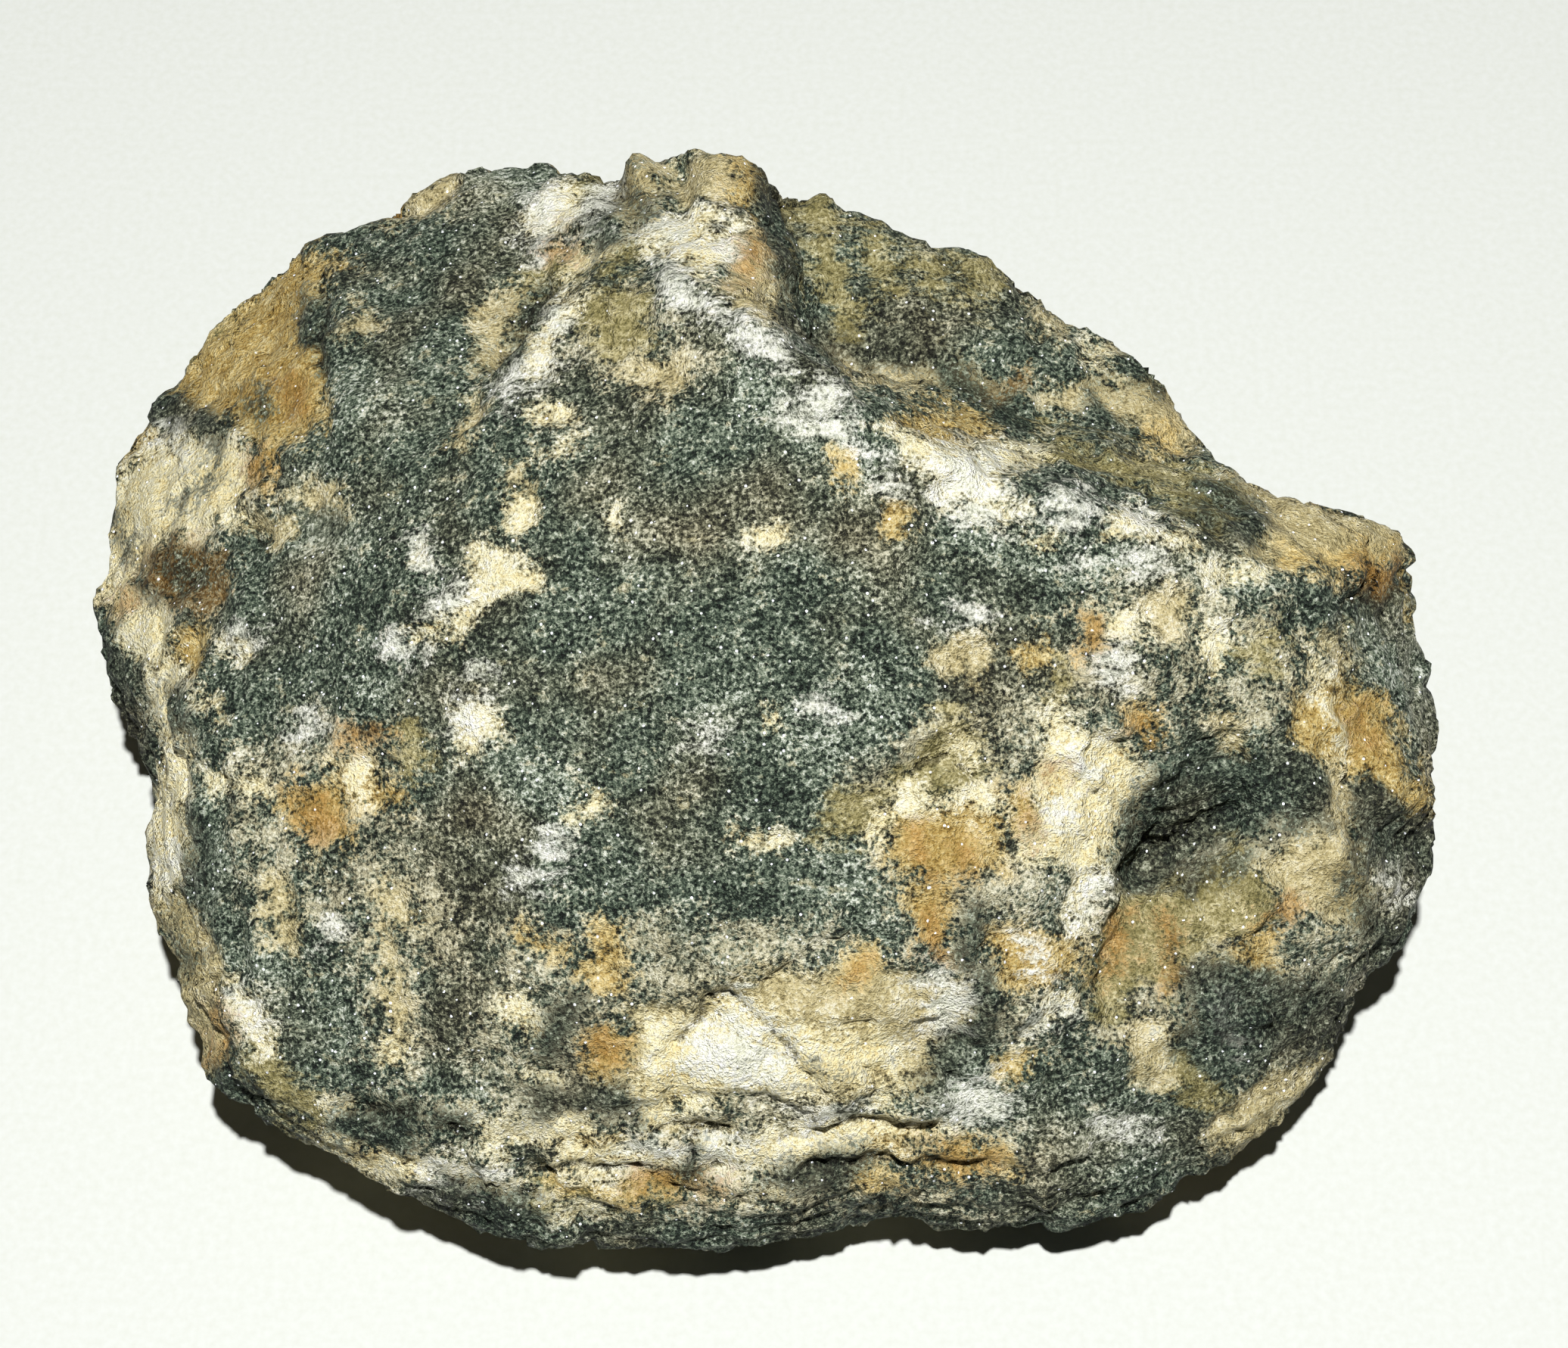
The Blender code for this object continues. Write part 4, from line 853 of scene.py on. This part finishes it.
# The dark crystals, from the darkest to the palest, where the stone is greener and where browner
GREENER = [
    (0.0, paint(12, 19, 15)), (0.30, paint(41, 52, 43)), (0.52, paint(91, 104, 87)),
    (0.75, paint(152, 162, 140)), (1.0, paint(226, 232, 218)),
]
BROWNER = [
    (0.0, paint(22, 20, 14)), (0.30, paint(56, 54, 40)), (0.55, paint(112, 108, 84)),
    (1.0, paint(208, 202, 170)),
]
print("tones for", len(TONES), "kinds")

# %% [markdown]
# The material mixes noises of several sizes: broad zones, middling blotches, tiny specks and single
# crystals. Fibres are noise drawn out across the view and a little downwards.

# %% Noises of the stone
CRYSTAL_SIZE = 0.27
# The share of crystals that get a painted glint
PAINTED_GLINT_SHARE = 0.010
FIBRE_SIZE = 1.1
rock = bpy.data.materials.new("weathered pyroxenite")
rock.use_nodes = True
tree = rock.node_tree
shader = tree.nodes["Principled BSDF"]
position = add_node(tree, "ShaderNodeTexCoord").outputs["Object"]


def rock_noise(size, detail, roughness=0.6, seed=0.0):
    """Noise around zero with forms of a size in mm."""
    inputs = {0: position, 1: (seed, seed * 0.7, -seed)}
    shifted = add_node(tree, "ShaderNodeVectorMath", inputs, operation="ADD").outputs[0]
    inputs = {"Vector": shifted, "Scale": 1 / (size * MM), "Detail": detail, "Roughness": roughness}
    texture = add_node(tree, "ShaderNodeTexNoise", inputs)
    return calculate(tree, "SUBTRACT", texture.outputs["Fac"], 0.5)


grains = add_node(tree, "ShaderNodeGroup", node_tree=grain)
tree.links.new(position, grains.inputs["Position"])
grains.inputs["Crystal size"].default_value = CRYSTAL_SIZE
grains.inputs["Painted glint share"].default_value = PAINTED_GLINT_SHARE
broad = rock_noise(7.0, 2.0)
middle = rock_noise(2.2, 3.0, 0.7, 0.31)
tiny = rock_noise(0.36, 2.0, 0.8, 0.57)

drawn_out = add_node(tree, "ShaderNodeMapping", {"Vector": position})
drawn_out.inputs["Rotation"].default_value = (0, 0, math.radians(18))
drawn_out.inputs["Scale"].default_value = (0.22, 1.0, 1.0)
fibre_scale = 1 / (FIBRE_SIZE * MM)
fibre_inputs = {"Vector": drawn_out.outputs[0], "Scale": fibre_scale, "Detail": 2.0, "Roughness": 0.7}
fibres = add_node(tree, "ShaderNodeTexNoise", fibre_inputs).outputs["Fac"]
fibres = calculate(tree, "SUBTRACT", fibres, 0.5)
speckle = calculate(tree, "SUBTRACT", grains.outputs["Second random"], 0.5)
fine_edge = add_up(tree, calculate(tree, "MULTIPLY", tiny, 0.7), (speckle, 0.16))
print("noises take", len(tree.nodes), "nodes")

# %% [markdown]
# Three helpers turn noises and the mesh's values into masks and colours. The first reads a value
# of the mesh, and where makes a kind's ragged mask from it.

# %% Masks and ramps
# For each kind: how ragged its edge is, how soft, and how much of it covers what lies below
LAYERS = {
    "dust": (1.9, 0.26, 0.80), "haze_and_painted_light": (1.2, 0.30, 1.0), "olive": (0.9, 0.18, 0.80),
    "tan": (0.8, 0.16, 0.88), "ochre": (0.9, 0.16, 0.84), "cream": (0.8, 0.14, 0.92),
    "white": (1.0, 0.22, 0.92), "rust": (0.9, 0.20, 0.80), "dark": (1.0, 0.16, 0.90),
}
FIBROUS = ("haze_and_painted_light", "white", "olive")


def attribute(name):
    """A value that the mesh keeps for each of its points."""
    return add_node(tree, "ShaderNodeAttribute", attribute_name=name).outputs["Fac"]


def where(kind):
    """The ragged mask of one kind, from 0 to 1."""
    raggedness, softness, cover = LAYERS[kind]
    node = add_node(tree, "ShaderNodeGroup", node_tree=ragged)
    tree.links.new(attribute(kind), node.inputs["Patch"])
    tree.links.new(fibres if kind in FIBROUS else middle, node.inputs["Coarse"])
    tree.links.new(fine_edge, node.inputs["Fine"])
    node.inputs["Raggedness"].default_value = raggedness
    node.inputs["Softness"].default_value = softness
    return calculate(tree, "MULTIPLY", node.outputs["Mask"], cover)


def share_between(value, none, full, most=1.0):
    """A share that grows from 0, where a value is at none, to most, where it is at full."""
    inputs = {"Value": value, "From Min": none, "From Max": full, "To Max": most}
    return add_node(tree, "ShaderNodeMapRange", inputs).outputs["Result"]


def colour_ramp(value, stops):
    """A colour that runs through stops, as places from 0 to 1 and colours."""
    node = add_node(tree, "ShaderNodeValToRGB", {"Fac": value})
    while len(node.color_ramp.elements) < len(stops):
        node.color_ramp.elements.new(0.5)
    for element, (place, tone) in zip(node.color_ramp.elements, stops):
        element.position = place
        element.color = tone
    return node.outputs["Color"]


print("masks for", len(LAYERS), "kinds")

# %% [markdown]
# At the bottom lies fresh rock: felted crystals in zones that are greener or browner, paler where
# there is haze. On the right edge, which faces away from the lamp, the same paler tone is painted
# light. Flecks of tan weathering are scattered over it.

# %% Fresh rock
PALER = 0.20
FLECK_COVER = 0.6


def fresh_rock(lightness):
    """The dark crystals, by how light each spot is; some zones of the stone are browner."""
    green, brown = colour_ramp(lightness, GREENER), colour_ramp(lightness, BROWNER)
    return blend_colours(tree, brown_share, green, brown)


felt = add_up(tree, 0.225, (tiny, 1.8), (grains.outputs["Random"], 0.46), (middle, 0.70), (broad, 0.40))
brown_share = add_up(tree, 0.15, (rock_noise(9.0, 1.0, 0.5, 0.83), 3.0), clamp=True)
# Paler where there is haze, and paler as painted light on the right edge
colour = fresh_rock(add_up(tree, felt, (where("haze_and_painted_light"), PALER)))
scatter = add_up(tree, middle, (tiny, 0.6), (fibres, 0.8))
flecks = share_between(scatter, 0.16, 0.34, FLECK_COVER)
colour = blend_colours(tree, flecks, colour, paint(184, 174, 130))
print("fresh rock brings it to", len(tree.nodes), "nodes")

# %% [markdown]
# The other kinds lie over it one by one, in the order of TONES, in tones that vary within a patch.
# The dark kind comes last: the dark skin where it is whole, and painted shade in a hollow on the
# right, on a ledge on the left and along the trough behind the crest.

# %% Patches over the fresh rock
DARKER = -0.13
shade_parts = [(tiny, 1.4), (grains.outputs["Random"], 0.26), (broad, 0.5), (middle, 1.3)]
shade = add_up(tree, 0.44, *shade_parts, clamp=True)
for kind, tones in TONES.items():
    stops = [(place, paint(*tone)) for place, tone in zip(TONE_PLACES, tones)]
    colour = blend_colours(tree, where(kind), colour, colour_ramp(shade, stops))
# Dark skin, and painted shade where the dark areas are marked so
colour = blend_colours(tree, where("dark"), colour, fresh_rock(calculate(tree, "ADD", felt, DARKER)))
print("patches bring it to", len(tree.nodes), "nodes")

# %% [markdown]
# Painted shade: dark lines run along the listed cracks, and in the creases between the layers of the
# steep sides, where shade falls. Broad noise breaks the creases up, so that few of them run far.

# %% Painted shade in cracks and creases
LINE_SHADE_COVER = 0.55
crack = add_up(tree, attribute("to_crack"), (tiny, 0.5), (middle, 0.7))
crack = share_between(crack, 0.26, 0.02)
layer = calculate(tree, "FRACT", add_up(tree, attribute("layering"), (middle, 0.35)))
crease_shade = share_between(layer, 0.16, 0.04)
broken = add_up(tree, 0.5, (broad, 6.0), clamp=True)
crease_shade = calculate(tree, "MULTIPLY", crease_shade, calculate(tree, "MULTIPLY", attribute("steep"), broken))
crack_and_crease_shade = calculate(tree, "MULTIPLY", calculate(tree, "MAXIMUM", crack, crease_shade), LINE_SHADE_COVER)
# Painted shade: a dark brown in the cracks and creases
colour = blend_colours(tree, crack_and_crease_shade, colour, paint(40, 36, 24))
print("lines bring it to", len(tree.nodes), "nodes")

# %% [markdown]
# Painted glints: a few crystals get a near-white colour in place of the lamp's reflection, and are a
# little smoother than the rest. Bump gives the finest relief, which is too small for the skin, and
# deepens the cracks. The material then goes on the stone.

# %% Painted glints, shine and bump
PAINTED_GLINT_COVER = 0.9
# The painted glint's colour: near-white, where a crystal would reflect the lamp
PAINTED_GLINT_COLOUR = (0.95, 0.97, 1.0, 1)
BUMP_DEPTH = 0.5 * MM
painted_glints = grains.outputs["Painted glint"]
colour = blend_colours(tree, calculate(tree, "MULTIPLY", painted_glints, PAINTED_GLINT_COVER), colour, PAINTED_GLINT_COLOUR)
tree.links.new(colour, shader.inputs["Base Color"])
shine = add_up(tree, 0.50, (grains.outputs["Second random"], 0.30))
shine = calculate(tree, "SUBTRACT", shine, calculate(tree, "MULTIPLY", painted_glints, 0.25))
tree.links.new(shine, shader.inputs["Roughness"])
shader.inputs["Specular IOR Level"].default_value = 0.2
bump_inputs = {"Height": add_up(tree, tiny, (crack, -0.8)), "Strength": 1.0, "Distance": BUMP_DEPTH}
bump = add_node(tree, "ShaderNodeBump", bump_inputs)
tree.links.new(bump.outputs["Normal"], shader.inputs["Normal"])
stone.data.materials.clear()
stone.data.materials.append(rock)
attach(stone, "root")
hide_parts("pyroxenite")
print("material has", len(tree.nodes), "nodes")

# %% [markdown]
# The stone lies on a sheet of pale paper. The floor is a wide plane with a faint grain of its own.

# %% Floor
FLOOR_HALF = 1.2
PAPER_GRAIN = 1400.0
bm = bmesh.new()
bmesh.ops.create_grid(bm, x_segments=1, y_segments=1, size=FLOOR_HALF)
floor_mesh = bpy.data.meshes.new("paper_floor")
bm.to_mesh(floor_mesh)
bm.free()
floor = bpy.data.objects.new("paper_floor", floor_mesh)
bpy.context.scene.collection.objects.link(floor)
paper = bpy.data.materials.new("pale paper")
paper.use_nodes = True
paper_tree = paper.node_tree
paper_position = add_node(paper_tree, "ShaderNodeTexCoord").outputs["Object"]
paper_inputs = {"Vector": paper_position, "Scale": PAPER_GRAIN, "Detail": 3.0}
paper_noise = add_node(paper_tree, "ShaderNodeTexNoise", paper_inputs).outputs["Fac"]
paper_colour = blend_colours(paper_tree, paper_noise, paint(219, 222, 211), paint(234, 237, 233))
paper_shader = paper_tree.nodes["Principled BSDF"]
paper_tree.links.new(paper_colour, paper_shader.inputs["Base Color"])
paper_shader.inputs["Roughness"].default_value = 0.9
floor.data.materials.append(paper)
print("floor is", 2 * FLOOR_HALF, "m wide")

# %% [markdown]
# Light. One small lamp stands a little above the line of sight, twice as far off as the viewer, so
# the shadow falls close under the stone's front edge. A very faint sky fills the rest.

# %% Lamp and sky
LAMP_FROM = 0.62
LAMP_ABOVE = math.radians(19)
LAMP_SIZE = 0.025
LAMP_POWER = 8.5
SKY_STRENGTH = 0.02
viewer = Vector((VIEW_MIDDLE + LOOK_FROM * TOWARDS) * MM)
target = Vector(VIEW_MIDDLE * MM)
lamp_data = bpy.data.lights.new("soft lamp", "AREA")
lamp_data.shape = "DISK"
lamp_data.size = LAMP_SIZE
lamp_data.energy = LAMP_POWER
lamp = bpy.data.objects.new("soft lamp", lamp_data)
lamp_way = TOWARDS * math.cos(LAMP_ABOVE) + UPWARDS * math.sin(LAMP_ABOVE)
lamp.location = target + Vector(lamp_way) * LAMP_FROM
lamp.rotation_euler = (target - lamp.location).to_track_quat("-Z", "Y").to_euler()
bpy.context.scene.collection.objects.link(lamp)
sky = bpy.data.worlds.new("pale sky")
sky.use_nodes = True
sky.node_tree.nodes["Background"].inputs["Color"].default_value = (0.95, 0.97, 1.0, 1)
sky.node_tree.nodes["Background"].inputs["Strength"].default_value = SKY_STRENGTH
bpy.context.scene.world = sky
bpy.context.scene.view_settings.view_transform = "Standard"
print("lamp at", [round(part, 3) for part in lamp.location], "m")

# %% [markdown]
# The camera stands at the viewing point, with a lens that shows 124 mm of width at the stone.

# %% Camera
VIEW_WIDTH = 124.3
SENSOR = 36.0
camera_data = bpy.data.cameras.new("camera")
camera_data.sensor_width = SENSOR
camera_data.lens = SENSOR * LOOK_FROM / VIEW_WIDTH
camera_data.clip_start = 0.01
camera = bpy.data.objects.new("camera", camera_data)
camera.location = viewer
camera.rotation_euler = (target - viewer).to_track_quat("-Z", "Y").to_euler()
bpy.context.scene.collection.objects.link(camera)
bpy.context.scene.camera = camera
print("lens", round(camera_data.lens, 1), "mm")
